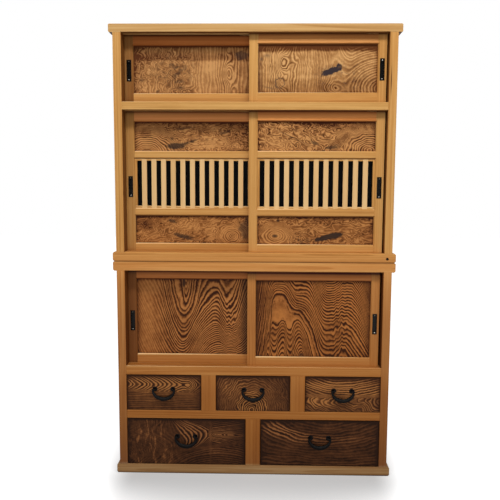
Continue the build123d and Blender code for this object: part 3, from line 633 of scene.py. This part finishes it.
def two_knots(f):
    """Lower panel of the middle right door: a dark knot left, a streak rising to the right."""
    knots = f.hill(6.9, 3.2, 1.1, 0.6) + f.hill(8.1, 9.2, 0.7, 0.45)
    streak = f.patch(f.band(22, 1.5, 32, 4, 1) * 1.35 + f.hill(30.5, 3.6, 2.2, 1.1) * 0.8,
                     1.2, 0.3, 0.7)
    f.stain = (f.over(knots, 0.3, 0.6) * 0.8 + streak * 0.95
               + f.specks(f.hill(16.5, 2, 4.5, 2.6), 1, 0) * 0.7)
    f.deep = (f.patches(4) + f.hill(27, 3, 8, 3) * 0.1 - f.hill(8, 4, 6, 3) * 0.25
              + f.hill(30, 9, 14, 2) * 0.15)
    f.bold = 0.42
    f.gold = 0.25 + f.hill(7, 3.2, 4, 3.5) * 0.5
    return f.knot((6.9, 3.2), (0.72, 1.05), 0.8, 4.6, f.burl() + f.v * 0.8, 0.4)


def arrowheads(f):
    """Small left drawer: a band of nested arrowheads, straight dark grain under it."""
    bend = (-4, 7.2, -3, 4.8, -2, 2.6, -1, 0.9, 0, 0, 1, 0.9, 2, 2.4, 3, 4.4, 4, 6.6)
    tips = (f.u + f.curve(f.v - 10.5, bend)) / 1.75 + f.rough(5) * 1.2 - f.hill(24.8, 10.2, 2, 3) * 2.4
    straight = f.v * 1.2 - f.u * 0.04 + f.rough(5, 1, (3, 1)) * 3.4
    band = f.hill(14, 10.6, 15, 2.6)
    f.gold = band + 0.15
    f.bold = band * 0.72 + 0.26
    f.deep = 0.28 - band * 0.34 - f.hill(17.6, 9.8, 2, 1.1) * 0.35 + f.hill(14, 1, 16, 3) * 0.12
    return f.join(f.over(f.v + f.u * 0.04, 7, 8.6), straight, tips)


def ringed_hill(f):
    """Small middle drawer: wide rings round a hill at its lower edge."""
    away = f.distance(14.2, 0.6, 1.05, 0.9)
    near = 1 - f.over(away, 4.5, 8)
    f.stain = f.specks(f.hill(24, 9, 7, 6), 1.6, 0.02) * 0.45
    f.gold = near * 1.1 + f.hill(6, 11, 9, 3) * 0.35 + 0.15
    f.bold = near * 0.65 + 0.26
    f.deep = 0.3 - f.hill(12, 8, 9, 4) * 0.2 - near * 0.12 + f.hill(27, 8, 5, 8) * 0.12
    return away * 1.15 + f.rough(3.6, 1.5) * 3.4 + f.hill(25.5, 6.5, 2.2, 2) * 2.2


def drooping(f):
    """Small right drawer: long drooping lines above, arrowheads pointing left below."""
    droop = f.curve(f.u, (0, 3.2, 5, 1.4, 11, 0, 17, -0.2, 22, 0.6, 30, 2.6))
    upper = (f.v - droop) * 1.05 + f.rough(5, 1, (2.5, 1)) * 2
    bend = (-5, 9, -3, 4.6, -2, 2.6, -1, 0.9, 0, 0, 1, 0.9, 2, 2.6, 3, 4.8, 8, 16)
    tips = (f.curve(f.v - 4.2, bend) - f.u) / 2 + f.rough(3.4) * 2.6 + f.hill(22.5, 2.2, 2.6, 2) * 3
    streaks = f.hill(8, 10.6, 12, 1.3) + f.hill(6, 4.2, 5, 1.3) + f.hill(21, 8, 9, 1.5) * 0.6
    f.gold = streaks * 0.9 + 0.2
    f.bold = streaks * 0.3 + 0.6
    f.deep = (0.12 - streaks * 0.36 + f.hill(15, 13.6, 16, 1.2) * 0.25 + f.patches(4) * 0.35)
    return f.join(f.over(f.v, 5.8, 7.2), tips, upper)


def golden_bow(f):
    """Large left drawer: gold lines bowed to the right, an arrowhead, sweeping lines below."""
    bow = f.between(f.v, f.u, BOW) + f.rough(4) * 0.8
    aside = f.v - 12.5 + (f.u - 38) * 0.03
    fish = f.hill(35.2, 12.6, 1.6, 1) * 1.6 + f.hill(41, 12.5, 3.6, 1.2) * 2.4
    arrow = (aside * aside + 0.1).root() * 1.5 - fish - f.u * 0.25 + f.rough(4)
    sweep = f.distance(37, -16, 0.8, 1) * 1.15 + f.rough(6, 1, (2, 1)) * 1.6
    inner = f.over(bow, 0.3, 1.2) - f.over(bow, 6.6, 7.6)
    gold = inner * f.hill(25.5, 12.8, 7, 5.5)
    head = f.hill(37.5, 12.6, 5, 2.4)
    left = f.over(-f.u - f.v * 0.3, -28, -14)
    flecks = f.over(f.rough(2.4, 2, (0.5, 2.2), 29, 1), -0.02, 0.26)
    wisps = left * (f.patches(3) * 0.5 + flecks * 0.6)
    f.bold = gold * 0.8 + head * 0.8 + f.over(f.u, 20, 30) * 0.4 + 0.14
    f.gold = gold * 0.8 + head + 0.12
    f.deep = 0.42 - gold * 0.42 - wisps - head * 0.3 - f.hill(38, 5.5, 8, 1.6) * 0.25
    upper = f.join(f.over(f.u, 32.4, 34.2), bow, arrow)
    return f.join(f.over(f.v - f.u * 0.15, 1.6, 3.4), sweep, upper)


def smiles(f):
    """Large right drawer: long lines that hang like a smile, gold at the upper left."""
    spread = f.over(f.v, 2, 11) * 0.22 + 0.33
    hang = f.distance(26, 27, spread, 1)
    track = f.over(hang, 13, 15) - f.over(hang, 18.2, 19.4)
    gold = f.hill(8.5, 14.5, 9, 4) * track + f.hill(27, 11, 13, 1.8) * 0.45 * track
    f.gold = gold * 0.9 + 0.14
    f.bold = gold * 0.6 + 0.2
    f.deep = 0.44 - gold * 0.38 + f.rough(3, 3, (3, 0.7), 29, 0.6) * 0.7
    f.stain = f.over(f.hill(45.3, 12.6, 1, 0.8), 0.3, 0.7) * 0.5
    return hang * 0.9 + f.rough(6, 1, (2, 1)) * 2 + f.rough(2.4, 1, (3, 1), 37) * 0.9


# ---------------------------------------------------------------- metal and glass
def iron():
    """Blackened forged iron with hammer marks."""
    t = Tree("black_iron")
    point = t.vector(*t.place())
    hammer = t.noise(point, scale=170.0, detail=2.0)
    grit = t.noise(point, scale=1400.0, detail=3.0)
    colour = t.ramp(t.clamp(grit * 0.6 + hammer * 0.4),
                    [(0.3, linear(5, 4, 4)), (0.75, linear(17, 14, 12))])
    return t.finish(Base_Color=colour, Roughness=t.spread(hammer, 0.3, 0.7, 0.2, 0.36),
                    Specular_IOR_Level=0.07, Normal=t.bump(hammer + grit * 0.3, 0.0006, 0.6))


def nail(name, dull, bright):
    """Steel nail heads."""
    t = Tree(name)
    wear_and_highlight = t.noise(t.vector(*t.place()), scale=900.0, detail=2.0)
    colour = t.ramp(wear_and_highlight, [(0.3, dull), (0.7, bright)])
    return t.finish(Base_Color=colour, Metallic=1.0, Roughness=t.spread(wear_and_highlight, 0.3, 0.7, 0.18, 0.4),
                    Normal=t.bump(wear_and_highlight, 0.0002, 0.4))


def dark_glass():
    """Glass with a little dust on it, tinted nearly black: painted shade standing for the dark inside of
    the cabinet behind it.
    """
    t = Tree("glass")
    dust = t.noise(t.vector(*t.place()), scale=30.0, detail=4.0)
    tint = t.ramp(dust, [(0.3, (0.06, 0.055, 0.05, 1)), (0.7, (0.04, 0.036, 0.032, 1))])
    return t.finish(Base_Color=tint, Roughness=t.spread(dust, 0.3, 0.8, 0.01, 0.06),
                    Transmission_Weight=1.0, IOR=1.45, Specular_Tint=(0.1, 0.1, 0.1, 1))


# ---------------------------------------------------------------- timber pieces from the CAD solids
MM = 0.001
MICROMETRES = 1e6                # in a metre
BOARD_EDGE = 0.7 * MM            # easing of an edge
IRON_EDGE = 0.4 * MM
SHARP = 0.4                      # radians from which an edge is eased
ARRISES = {"door_frame": 4.5 * MM, "door_sill_rail": 1.6 * MM, "upper_middle_rail": 1.2 * MM,
           "door_lattice": 2.0 * MM}     # width of the chamfer that carries a pale painted highlight, by the end of a node's name
LYING = 4                        # times as long as high, from which a board counts as lying across
NEAR = 0.01 * MM
GRAIN_STARTS = ((0, 40), (0.03, 0.16), (-0.05, 0.05))    # of a board's grain: along, across, deep
PLAIN = (1.0, 1.0, 1.0)


def even(*tint):
    return tint, tint


BOARD_TINTS_AND_SHADES = {                  # of single boards, at their lower and upper side; on the door heads painted light and shade, the overhang's shadow above and a lit strip below it; on the doors' left stiles painted shade beside the posts; the lower posts darker towards their feet
    ("lower_left_door_frame", "left"): even(0.37, 0.30, 0.27),
    ("top_left_door_frame", "left"): even(0.48, 0.42, 0.40),
    ("middle_left_door_frame", "left"): even(0.74, 0.72, 0.70),
    ("top_left_door_frame", "head"): ((1.05, 0.74, 0.66), (0.52, 0.30, 0.26)),
    ("top_right_door_frame", "head"): ((1.30, 1.22, 1.36), (0.80, 0.60, 0.56)),
    ("middle_left_door_frame", "head"): ((1.28, 1.02, 1.06), (1.06, 0.82, 0.84)),
    ("middle_right_door_frame", "head"): ((1.26, 0.96, 0.88), (1.12, 0.80, 0.74)),
    ("lower_left_door_frame", "head"): even(1.0, 0.82, 0.80),
    ("lower_right_door_frame", "head"): even(0.95, 0.78, 0.76),
    ("lower_left_frame", "foot"): ((0.70, 0.67, 0.82), PLAIN),
    ("lower_right_frame", "foot"): ((0.70, 0.67, 0.82), PLAIN),
    ("lower_base_frame", "whole"): even(0.91, 0.91, 0.97),
    ("upper_top_board", "whole"): even(0.95, 1.08, 1.36),
    ("upper_middle_rail", "whole"): even(1.06, 1.15, 1.25),
}


def closed_solids(node):
    """The node's closed solids, one after another, as lists of faces of corner keys."""
    mesh = nodes[node].data
    keys = [tuple(round(c * MICROMETRES) for c in vertex.co) for vertex in mesh.vertices]
    open_edges, faces = {}, []
    for polygon in mesh.polygons:
        corners = [keys[i] for i in polygon.vertices]
        faces.append(corners)
        for edge in zip(corners, corners[1:] + corners[:1]):
            back = edge[::-1]
            if back in open_edges:
                open_edges[back] -= 1
                if not open_edges[back]:
                    del open_edges[back]
            else:
                open_edges[edge] = open_edges.get(edge, 0) + 1
        if not open_edges:
            yield faces
            faces = []


def extent(bm):
    """Lowest and highest corner of a mesh."""
    return [[pick(v.co[i] for v in bm.verts) for i in range(3)] for pick in (min, max)]


def highlit_arris(bm, node):
    """Chamfers the upper front arris of each board that lies across, and marks the chamfer for a pale
    painted highlight.
    """
    size = next((size for ending, size in ARRISES.items() if node.endswith(ending)), 0)
    painted_highlight = bm.faces.layers.float.new("painted_highlight")
    low, high = extent(bm)
    if not size or high[0] - low[0] < LYING * (high[2] - low[2]):
        return
    top = [v for v in bm.verts if v.co.z > high[2] - NEAR]
    face = min(v.co.y for v in top)
    edges = [e for e in bm.edges if all(v in top and v.co.y < face + NEAR for v in e.verts)]
    made = bmesh.ops.bevel(bm, geom=edges, offset=size, segments=1, affect="EDGES", clamp_overlap=True)
    for chamfer in made["faces"]:
        chamfer[painted_highlight] = 1.0


def eased_solids(node, edge):
    """Each closed solid of a node as a bmesh, with its outer arrises eased."""
    for faces in closed_solids(node):
        bm = bmesh.new()
        made = {}
        for corners in faces:
            for key in corners:
                if key not in made:
                    made[key] = bm.verts.new([c / MICROMETRES for c in key])
            if len(set(corners)) == 3:
                bm.faces.new([made[key] for key in corners])
        bmesh.ops.dissolve_limit(bm, angle_limit=math.radians(0.5), verts=bm.verts, edges=bm.edges)
        highlit_arris(bm, node)
        sharp = [e for e in bm.edges if e.is_manifold and e.calc_face_angle_signed() > SHARP]
        bmesh.ops.bevel(bm, geom=sharp, offset=edge, segments=2, profile=0.5,
                        affect="EDGES", clamp_overlap=True)
        bm.verts.index_update()
        yield bm


def board_tint_and_shade(node, low, high, along):
    """Tints of a board's lower and upper side, on door heads and left stiles painted light and shade."""
    node_low, node_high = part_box(node)
    fits = {"whole": True,
            "left": along == 2 and low[0] < node_low.x + MM,
            "head": along == 0 and high[2] > node_high.z - MM,
            "foot": along == 2}
    for kind, fit in fits.items():
        if fit and (node, kind) in BOARD_TINTS_AND_SHADES:
            return BOARD_TINTS_AND_SHADES[node, kind]
    return PLAIN, PLAIN


def timber(node, *materials):
    """The node's boards, each with grain along its length. One material, or one for each board."""
    dice = random.Random(node)
    verts, polygons, grains, tones, tints, wear_and_highlight, finishes = [], [], [], [], [], [], []
    for board, bm in enumerate(eased_solids(node, BOARD_EDGE)):
        low, high = extent(bm)
        sizes = [b - a for a, b in zip(low, high)]
        along = sizes.index(max(sizes))
        deep = sizes.index(min(sizes))
        across = 3 - along - deep
        middle = [(a + b) / 2 for a, b in zip(low, high)]
        shift = [dice.uniform(*reach) for reach in GRAIN_STARTS]
        tone = dice.uniform(-1, 1)
        lower, upper = board_tint_and_shade(node, low, high, along)
        painted_highlight = bm.faces.layers.float["painted_highlight"]
        base = len(verts)
        for v in bm.verts:
            verts.append(v.co[:])
            grains.append([v.co[axis] - middle[axis] + s
                           for axis, s in zip((along, across, deep), shift)])
        for face in bm.faces:
            polygons.append([base + v.index for v in face.verts])
            for v in face.verts:
                share = (v.co.z - low[2]) / sizes[2]
                tints += [*(a + (b - a) * share for a, b in zip(lower, upper)), 1.0]
                wear_and_highlight.append(face[painted_highlight])
                tones.append(tone)
        finishes += [min(board, len(materials) - 1)] * len(bm.faces)
        bm.free()
    mesh = bpy.data.meshes.new(node)
    mesh.from_pydata(verts, [], polygons)
    mesh.polygons.foreach_set("material_index", finishes)
    mesh.attributes.new("grain", "FLOAT_VECTOR", "POINT").data.foreach_set(
        "vector", [c for g in grains for c in g])
    for name, values in (("tone", tones), ("painted_highlight", wear_and_highlight)):
        mesh.attributes.new(name, "FLOAT", "CORNER").data.foreach_set("value", values)
    mesh.attributes.new("tint", "FLOAT_COLOR", "CORNER").data.foreach_set("color", tints)
    add_piece(mesh, "wood_" + node, node_body[node], node_slot[node], materials, node)


def add_piece(mesh, name, body, slot, materials, *replaced):
    """Puts a finished mesh in the scene, on its body, in place of its nodes."""
    for material in materials:
        mesh.materials.append(material)
    piece = bpy.data.objects.new(name, mesh)
    bpy.context.scene.collection.objects.link(piece)
    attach(piece, body)
    if replaced:
        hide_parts(*replaced)


# ---------------------------------------------------------------- iron fittings
ARM_WIDTH = 7.0 * MM
ARM_RISE = 4.0 * MM              # top of the bail's arms over the hinge line
BAIL_WIDTH = 17.0 * MM
BAIL_STATIONS = 48
SECTION_POINTS = 20
SECTION_POWER = 2.2              # 2 is an ellipse, more is squarer
HAMMER_DEPTH = 0.12 * MM
HAMMER_PITCH = 5.0 * MM
EYE_RADIUS = 5.0 * MM
EYE_WIDTH = 4.5 * MM
EYE_ROUNDING = 0.9 * MM
HOLE_RADIUS = 2.55 * MM
PIN_RADIUS = 2.35 * MM
PIN_END = 1.2 * MM               # past the eye
STEM_HEIGHT = 3.2 * MM
PLATE_THICKNESS = 1.6 * MM
LEG_THICKNESS = 1.6 * MM
LEG_REACH = 9.0 * MM
LEG_PROFILE = [(0.02, 1), (0.5, 1), (0.9, 0.8), (1, 0.5)]       # share of the reach, size
ARM_PROFILE = [(1.0, 0.3), (0.88, 0.66), (0.65, 0.9), (0.35, 1.0)]      # share of the rise, size
BAR_CORNER = 0.75                # where a flat bar's corners are cut, as a share of its half width
PLATE_PROFILE = [(0, 1), (0.45, 1), (0.8, 0.95), (1, 0.86), (0.82, 0.6), (0.9, 0.42), (0.9, 0.2)]
NAIL_RADIUS = 2.2 * MM
NAIL_RISE = 1.1 * MM
NAIL_INSET = 6.5 * MM            # from the end of the pull
NAIL_PROFILE = [(-0.5, 1), (0, 1), (0.45, 0.88), (0.8, 0.6), (1, 0.2)]
PEG_AT = (517.1 * MM, 876.9 * MM)
PEG_RADIUS = 5.5 * MM
PEG_RISE = 0.6 * MM
ROUND = 32                       # points round an eye, pin, plate, peg or nail


def turned(count):
    return [2 * math.pi * i / count for i in range(count)]


def skin(bm, sections, ring=False):
    """A closed skin over loops of points, flat at both ends or joined into a ring."""
    loops = [[bm.verts.new(point) for point in section] for section in sections]
    count = len(loops[0])
    following = loops[1:] + loops[:1] if ring else loops[1:]
    for first, second in zip(loops, following):
        for i in range(count):
            j = (i + 1) % count
            bm.faces.new((first[i], first[j], second[j], second[i]))
    if not ring:
        bm.faces.new(loops[0][::-1])
        bm.faces.new(loops[-1])


def boss(bm, centre, rise, radius, profile):
    """A round head that stands out to the front, from (share of rise, share of radius) pairs."""
    discs(bm, centre, 1, [(-rise * out, radius * size) for out, size in profile])


def discs(bm, centre, axis, profile):
    """A solid turned round X (axis 0) or Y (axis 1) from (place along it, radius) pairs."""
    sections = []
    for along, radius in profile:
        section = []
        for angle in turned(ROUND):
            point = Vector(centre)
            point[axis] += along
            point[1 - axis] += radius * math.cos(angle)
            point[2] += radius * math.sin(angle)
            section.append(point)
        sections.append(section)
    skin(bm, sections)


def hammered(point):
    """A point moved a little, as a hammer leaves it."""
    return point + HAMMER_DEPTH * noise.noise_vector(point / HAMMER_PITCH)


def smooth_mesh(bm, name, sharp_angle):
    bmesh.ops.recalc_face_normals(bm, faces=bm.faces)
    for face in bm.faces:
        face.smooth = True
    mesh = bpy.data.meshes.new(name)
    bm.to_mesh(mesh)
    bm.free()
    mesh.set_sharp_from_angle(angle=math.radians(sharp_angle))
    return mesh


def handle_places(name):
    """Middle of a drawer's hinge line, the distance between its two eyes, and their plates' radius."""
    low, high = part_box(name + "_posts")
    bail_low, bail_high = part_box(name + "_handle")
    plate_radius = (high.z - low.z) / 2
    hinge = Vector(((low.x + high.x) / 2, (bail_low.y + bail_high.y) / 2, (low.z + high.z) / 2))
    return hinge, high.x - low.x - 2 * plate_radius, plate_radius


def bail(name, material):
    """Crescent handle: thick in the middle, narrow at the arms, pins turned in at the top."""
    low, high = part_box(name + "_handle")
    hinge, spacing, _ = handle_places(name)
    half_width = (high.x - low.x - ARM_WIDTH) / 2
    drop = hinge.z - low.z - BAIL_WIDTH / 2
    thickness = high.y - low.y

    def arm(side, profile):
        return [(Vector((side * half_width, 0, ARM_RISE * rise)), Vector((0, 0, -side)),
                 ARM_WIDTH * size, thickness * size) for rise, size in profile]

    stations = arm(1, ARM_PROFILE)
    for i in range(BAIL_STATIONS + 1):
        angle = math.pi * i / BAIL_STATIONS
        width = ARM_WIDTH + (BAIL_WIDTH - ARM_WIDTH) * math.sin(angle)
        stations.append((Vector((half_width * math.cos(angle), 0, -drop * math.sin(angle))),
                         Vector((-half_width * math.sin(angle), 0, -drop * math.cos(angle))),
                         width, thickness))
    stations += arm(-1, ARM_PROFILE[::-1])
    sections = []
    for centre, tangent, width, depth in stations:
        side = tangent.cross(Vector((0, 1, 0))).normalized()
        shrink = 1 - 2 * HAMMER_DEPTH / depth
        section = []
        for angle in turned(SECTION_POINTS):
            c, s = (math.copysign(abs(f(angle)) ** (2 / SECTION_POWER), f(angle))
                    for f in (math.cos, math.sin))
            section.append(hammered(hinge + centre + side * c * width / 2 * shrink
                                    + Vector((0, s * depth / 2 * shrink, 0))))
        sections.append(section)
    bm = bmesh.new()
    skin(bm, sections)
    inner = spacing / 2 - EYE_WIDTH / 2 - PIN_END
    pin = [(half_width, 1), (inner + 0.5 * MM, 1), (inner + 0.1 * MM, 0.85), (inner, 0.6)]
    for side in (-1, 1):
        discs(bm, hinge, 0, [(side * out, PIN_RADIUS * size) for out, size in pin])
    add_piece(smooth_mesh(bm, "bail", 40), "bail_" + name, name + "_bail", "iron", [material],
              name + "_handle")


def rounded_loop(half, inner, outer, soft):
    """Section of an eye as (place along its axis, radius) pairs, its four corners rounded."""
    corners = [(half - soft, outer - soft, 0), (soft - half, outer - soft, 1),
               (soft - half, inner + soft, 2), (half - soft, inner + soft, 3)]
    return [(x + soft * math.cos((quarter + share) * math.pi / 2),
             r + soft * math.sin((quarter + share) * math.pi / 2))
            for x, r, quarter in corners for share in (0, 0.5, 1)]


def flat_bar(bm, sections, width, height, turn):
    """A flat bar with eased corners through (centre, size) pairs, its section turned by a function."""
    cut = BAR_CORNER
    outline = [(-1, -cut), (-cut, -1), (cut, -1), (1, -cut), (1, cut), (cut, 1), (-cut, 1), (-1, cut)]
    skin(bm, [[centre + turn(a * width / 2 * size, b * height / 2 * size) for a, b in outline]
              for centre, size in sections])


def eyes(name, material):
    """The two forged eyes of a handle, their round plates and the legs clenched behind."""
    face, back = (corner.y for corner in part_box(name + "_front"))
    hinge, spacing, plate_radius = handle_places(name)
    eye_section = rounded_loop(EYE_WIDTH / 2, HOLE_RADIUS, EYE_RADIUS, EYE_ROUNDING)
    bm = bmesh.new()
    for side in (-1, 1):
        centre = hinge + Vector((side * spacing / 2, 0, 0))
        skin(bm, [[centre + Vector((x, r * math.cos(a), r * math.sin(a))) for x, r in eye_section]
                  for a in turned(ROUND)], ring=True)
        stem = [(Vector((centre.x, y, centre.z)), size)
                for y, size in ((hinge.y + (EYE_RADIUS + HOLE_RADIUS) / 2, 0.85), (face, 1), (back, 1))]
        flat_bar(bm, stem, EYE_WIDTH, STEM_HEIGHT, lambda a, b: Vector((a, 0, b)))
        boss(bm, (centre.x, face, centre.z), PLATE_THICKNESS, plate_radius, PLATE_PROFILE)
        for turn in (-1, 1):
            leg = [(Vector((centre.x, back + LEG_THICKNESS / 2, centre.z + turn * LEG_REACH * out)), size)
                   for out, size in LEG_PROFILE]
            flat_bar(bm, leg, EYE_WIDTH, LEG_THICKNESS, lambda a, b: Vector((a, b, 0)))
    add_piece(smooth_mesh(bm, "eyes", 50), "eyes_" + name, name, "iron", [material], name + "_posts")


def pull(door, cup_material, *nail_materials):
    """Iron cup of a sliding door with a round nail in the tab at each end, the lower one first."""
    node = door + "_pull"
    bm = bmesh.new()
    for cup in eased_solids(node, IRON_EDGE):
        mesh = bpy.data.meshes.new("cup")
        cup.to_mesh(mesh)
        cup.free()
        bm.from_mesh(mesh)
        bpy.data.meshes.remove(mesh)
    add_piece(smooth_mesh(bm, "cup", 30), "cup_" + door, door, "iron", [cup_material], node)
    low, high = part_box(node)
    bm = bmesh.new()
    for z in (low.z + NAIL_INSET, high.z - NAIL_INSET):
        boss(bm, ((low.x + high.x) / 2, low.y, z), NAIL_RISE, NAIL_RADIUS, NAIL_PROFILE)
    mesh = smooth_mesh(bm, "nails", 60)
    for polygon in mesh.polygons:
        polygon.material_index = int(polygon.center.z > (low.z + high.z) / 2)
    add_piece(mesh, "nails_" + door, door, "iron", nail_materials)


def peg(material):
    """End of the dark peg that pins the front of the upper chest's base."""
    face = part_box("upper_base_frame")[0].y
    bm = bmesh.new()
    boss(bm, (PEG_AT[0], face, PEG_AT[1]), PEG_RISE, PEG_RADIUS, NAIL_PROFILE)
    add_piece(smooth_mesh(bm, "peg", 60), "peg", "case", "frame_wood", [material])


# ---------------------------------------------------------------- light and floor
FLOOR_CORNERS = [(-9, -7, 0), (9, -7, 0), (9, 11, 0), (-9, 11, 0)]
FLOOR_DROP = 0.5 * MM            # under the cabinet
FLOOR_ALBEDO = 0.5
FLOOR_GLOW = 0.86                # beside the cabinet, so that its shadow shows
FLOOR_CLEAR = (0.7, 1.3)         # over these distances from the cabinet the floor goes to plain white
FLOOR_SHADOW_DEPTH = 0.63               # how deep the painted soft shadow on the floor in front of the base is
FLOOR_SHADOW_REACH = 0.36
FLOOR_SHADOW_HALF_WIDTH = 0.59
FLOOR_SHADOW_ENDS = (-0.39, -0.22)      # minus the squares of the distances aside where it ends and is whole
WORLD_LIGHT = 0.22
LAMPS = {                        # place, aim, size in metres, watts
    "key": ((0.25, -1.75, 3.35), (0, -0.2, 1.0), (3.4, 0.35), 66),
    "fill": ((0.1, -3.0, 0.35), (0, -0.2, 0.75), (3.2, 0.9), 28),
}


def seen_ray(t):
    """1 for the rays that the camera, a gloss or a glass looks along."""
    path = t.node("LightPath")
    camera, gloss, glass = (Value(t, path.outputs[name]) for name in
                            ("Is Camera Ray", "Is Glossy Ray", "Is Transmission Ray"))
    return camera.most(gloss).most(glass)


def make_floor():
    mesh = bpy.data.meshes.new("floor")
    mesh.from_pydata(FLOOR_CORNERS, [], [(0, 1, 2, 3)])
    floor = bpy.data.objects.new("floor", mesh)
    floor.location.z = -FLOOR_DROP
    bpy.context.scene.collection.objects.link(floor)
    t = Tree("floor")
    x, y, _ = t.place()
    away = (x * x + y * y).root()
    ahead = (cad_bounds[0][1] - y).most(0.0)
    aside = x / FLOOR_SHADOW_HALF_WIDTH
    reach = ((1 - aside * aside) * FLOOR_SHADOW_REACH ** 2).most(1e-4)
    # a painted shadow in front of the base, taken out of the floor's glow
    shade = (-(ahead * ahead / reach)).exp() * t.spread(-(x * x), *FLOOR_SHADOW_ENDS)
    glow = seen_ray(t) * (t.spread(away, *FLOOR_CLEAR, FLOOR_GLOW, 1.0) - shade * FLOOR_SHADOW_DEPTH)
    light = t.node("Emission", {"Strength": glow})
    matt = t.node("BsdfDiffuse", {"Color": (FLOOR_ALBEDO, FLOOR_ALBEDO, FLOOR_ALBEDO, 1)})
    both = t.node("AddShader")
    t.links.new(matt.outputs[0], both.inputs[0])
    t.links.new(light.outputs[0], both.inputs[1])
    mesh.materials.append(t.surface(both))


def make_world():
    world = bpy.data.worlds.new("world")
    bpy.context.scene.world = world
    t = Tree("world", world)
    strength = seen_ray(t) * (1 - WORLD_LIGHT) + WORLD_LIGHT
    t.surface(t.node("Background", {"Color": (1, 1, 1, 1), "Strength": strength}), "OutputWorld")


def area_light(name, at, target, size, power):
    data = bpy.data.lights.new(name, "AREA")
    data.shape = "RECTANGLE"
    data.size, data.size_y = size
    data.energy = power
    lamp = bpy.data.objects.new(name, data)
    lamp.location = at
    lamp.rotation_euler = (Vector(target) - Vector(at)).to_track_quat("-Z", "Y").to_euler()
    bpy.context.scene.collection.objects.link(lamp)


make_camera()
make_floor()
make_world()
for name, lamp in LAMPS.items():
    area_light(name, *lamp)

# ---------------------------------------------------------------- dress the frame
HONEY = palette((218, 170, 103), (201, 145, 79), (164, 108, 50))
frame_wood = straight_wood("honey_wood", *HONEY, low_shade=True, shade_lines=CASE_SHADE_LINES, case=True)
door_wood = straight_wood("door_wood", *HONEY, low_shade=True, shade_lines=DOOR_SHADE_LINES)
pale_wood = straight_wood("pale_wood", *palette((238, 202, 148), (224, 180, 122), (204, 156, 100)),
                          contrast=0.6)
plain_wood = straight_wood("plain_wood", *palette((196, 156, 112), (178, 134, 90), (146, 104, 66)),
                           contrast=1.0, low_shade=True)
peg_wood = straight_wood("peg_wood", *palette((96, 58, 32), (62, 36, 20), (36, 20, 12)))
slot_material = {"frame_wood": frame_wood, "pale_wood": pale_wood, "plain_wood": plain_wood}

TOP_LEFT = palette((200, 148, 92), (160, 110, 64), (84, 44, 20), (52, 38, 32))
TOP_RIGHT = palette((212, 162, 104), (170, 120, 70), (92, 50, 22), (54, 44, 46))
UPPER = palette((198, 142, 84), (158, 104, 58), (66, 31, 13), (38, 30, 28))
LOWER = palette((192, 132, 74), (148, 92, 46), (66, 31, 13), (46, 34, 28))
LOW_LEFT = palette((184, 120, 64), (134, 79, 38), (56, 26, 10), (56, 36, 24))
LOW_RIGHT = palette((182, 114, 56), (132, 77, 35), (54, 25, 9), (56, 36, 24))
SMALL = palette((170, 112, 60), (110, 67, 36), (50, 26, 12), (60, 36, 22))
LARGE = palette((144, 92, 52), (92, 55, 31), (38, 20, 10), (60, 35, 21))
PANEL_LAP = 5.8 * MM             # a panel's edge inside its groove
UPPER_PANEL = 0.112              # heights of the middle doors' two panels
LOWER_PANEL = 0.109
BORDER_STRIPS = 4                # a lattice's first boards
SEED_STEP = 7.3


def panel_area(node, height):
    """Lower left corner and size of what shows of a panel: all of the node, or one of two."""
    low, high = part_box(node)
    bottom, top = low.z + PANEL_LAP, high.z - PANEL_LAP
    if height == LOWER_PANEL:
        top = bottom + height
    elif height == UPPER_PANEL:
        bottom = top - height
    return (low.x + PANEL_LAP, bottom), (high.x - low.x - 2 * PANEL_LAP, top - bottom)


def front_area(node):
    """Lower left corner and size of a drawer's front."""
    low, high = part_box(node)
    return (low.x, low.z), (high.x - low.x, high.z - low.z)


figured = {
    "top_left_door_panel": [(burl_left, TOP_LEFT, None)],
    "top_right_door_panel": [(burl_right, TOP_RIGHT, None)],
    "middle_left_door_panel": [(small_eye, LOWER, LOWER_PANEL), (rainbow, UPPER, UPPER_PANEL)],
    "middle_right_door_panel": [(two_knots, LOWER, LOWER_PANEL), (speckled, UPPER, UPPER_PANEL)],
    "lower_left_door_panel": [(nested_cups, LOW_LEFT, None)],
    "lower_right_door_panel": [(folded_hills, LOW_RIGHT, None)],
}
fronts = {
    "small_left_drawer_front": (arrowheads, SMALL),
    "small_middle_drawer_front": (ringed_hill, SMALL),
    "small_right_drawer_front": (drooping, SMALL),
    "large_left_drawer_front": (golden_bow, LARGE),
    "large_right_drawer_front": (smiles, LARGE),
}
black_iron = iron()
# two copies of one steel: a bright one whose colour paints a glint, and a dark one with painted shade
glinting_nail = nail("glinting_nail", *palette((150, 142, 130), (214, 208, 198)))
shaded_nail = nail("shaded_nail", *palette((64, 56, 48), (108, 98, 86)))
glass = dark_glass()

for i, (node, boards) in enumerate(figured.items()):
    timber(node, *(figured_wood(draw, colours, panel_area(node, height), i * SEED_STEP, upright=True)
                   for draw, colours, height in boards))
for i, (node, (draw, colours)) in enumerate(fronts.items(), len(figured)):
    timber(node, figured_wood(draw, colours, front_area(node), i * SEED_STEP, upright=False))

for node in sorted(nodes):
    slot = node_slot[node]
    if node.endswith("_lattice"):
        timber(node, *[door_wood] * BORDER_STRIPS, pale_wood)
    elif node.endswith("_door_frame"):
        timber(node, door_wood)
    elif slot in slot_material:
        timber(node, slot_material[slot])
    elif slot == "glass":
        nodes[node].data.materials.clear()
        nodes[node].data.materials.append(glass)

for body in sorted(frame["bodies"]):
    if body.endswith("_door"):
        # lower nails with a painted glint; upper ones with painted shade, except on the top right door
        pull(body, black_iron, glinting_nail, glinting_nail if body == "top_right_door" else shaded_nail)
    elif body.endswith("_drawer"):
        bail(body, black_iron)
        eyes(body, black_iron)
peg(peg_wood)

scene = bpy.context.scene
scene.view_settings.view_transform = "Standard"
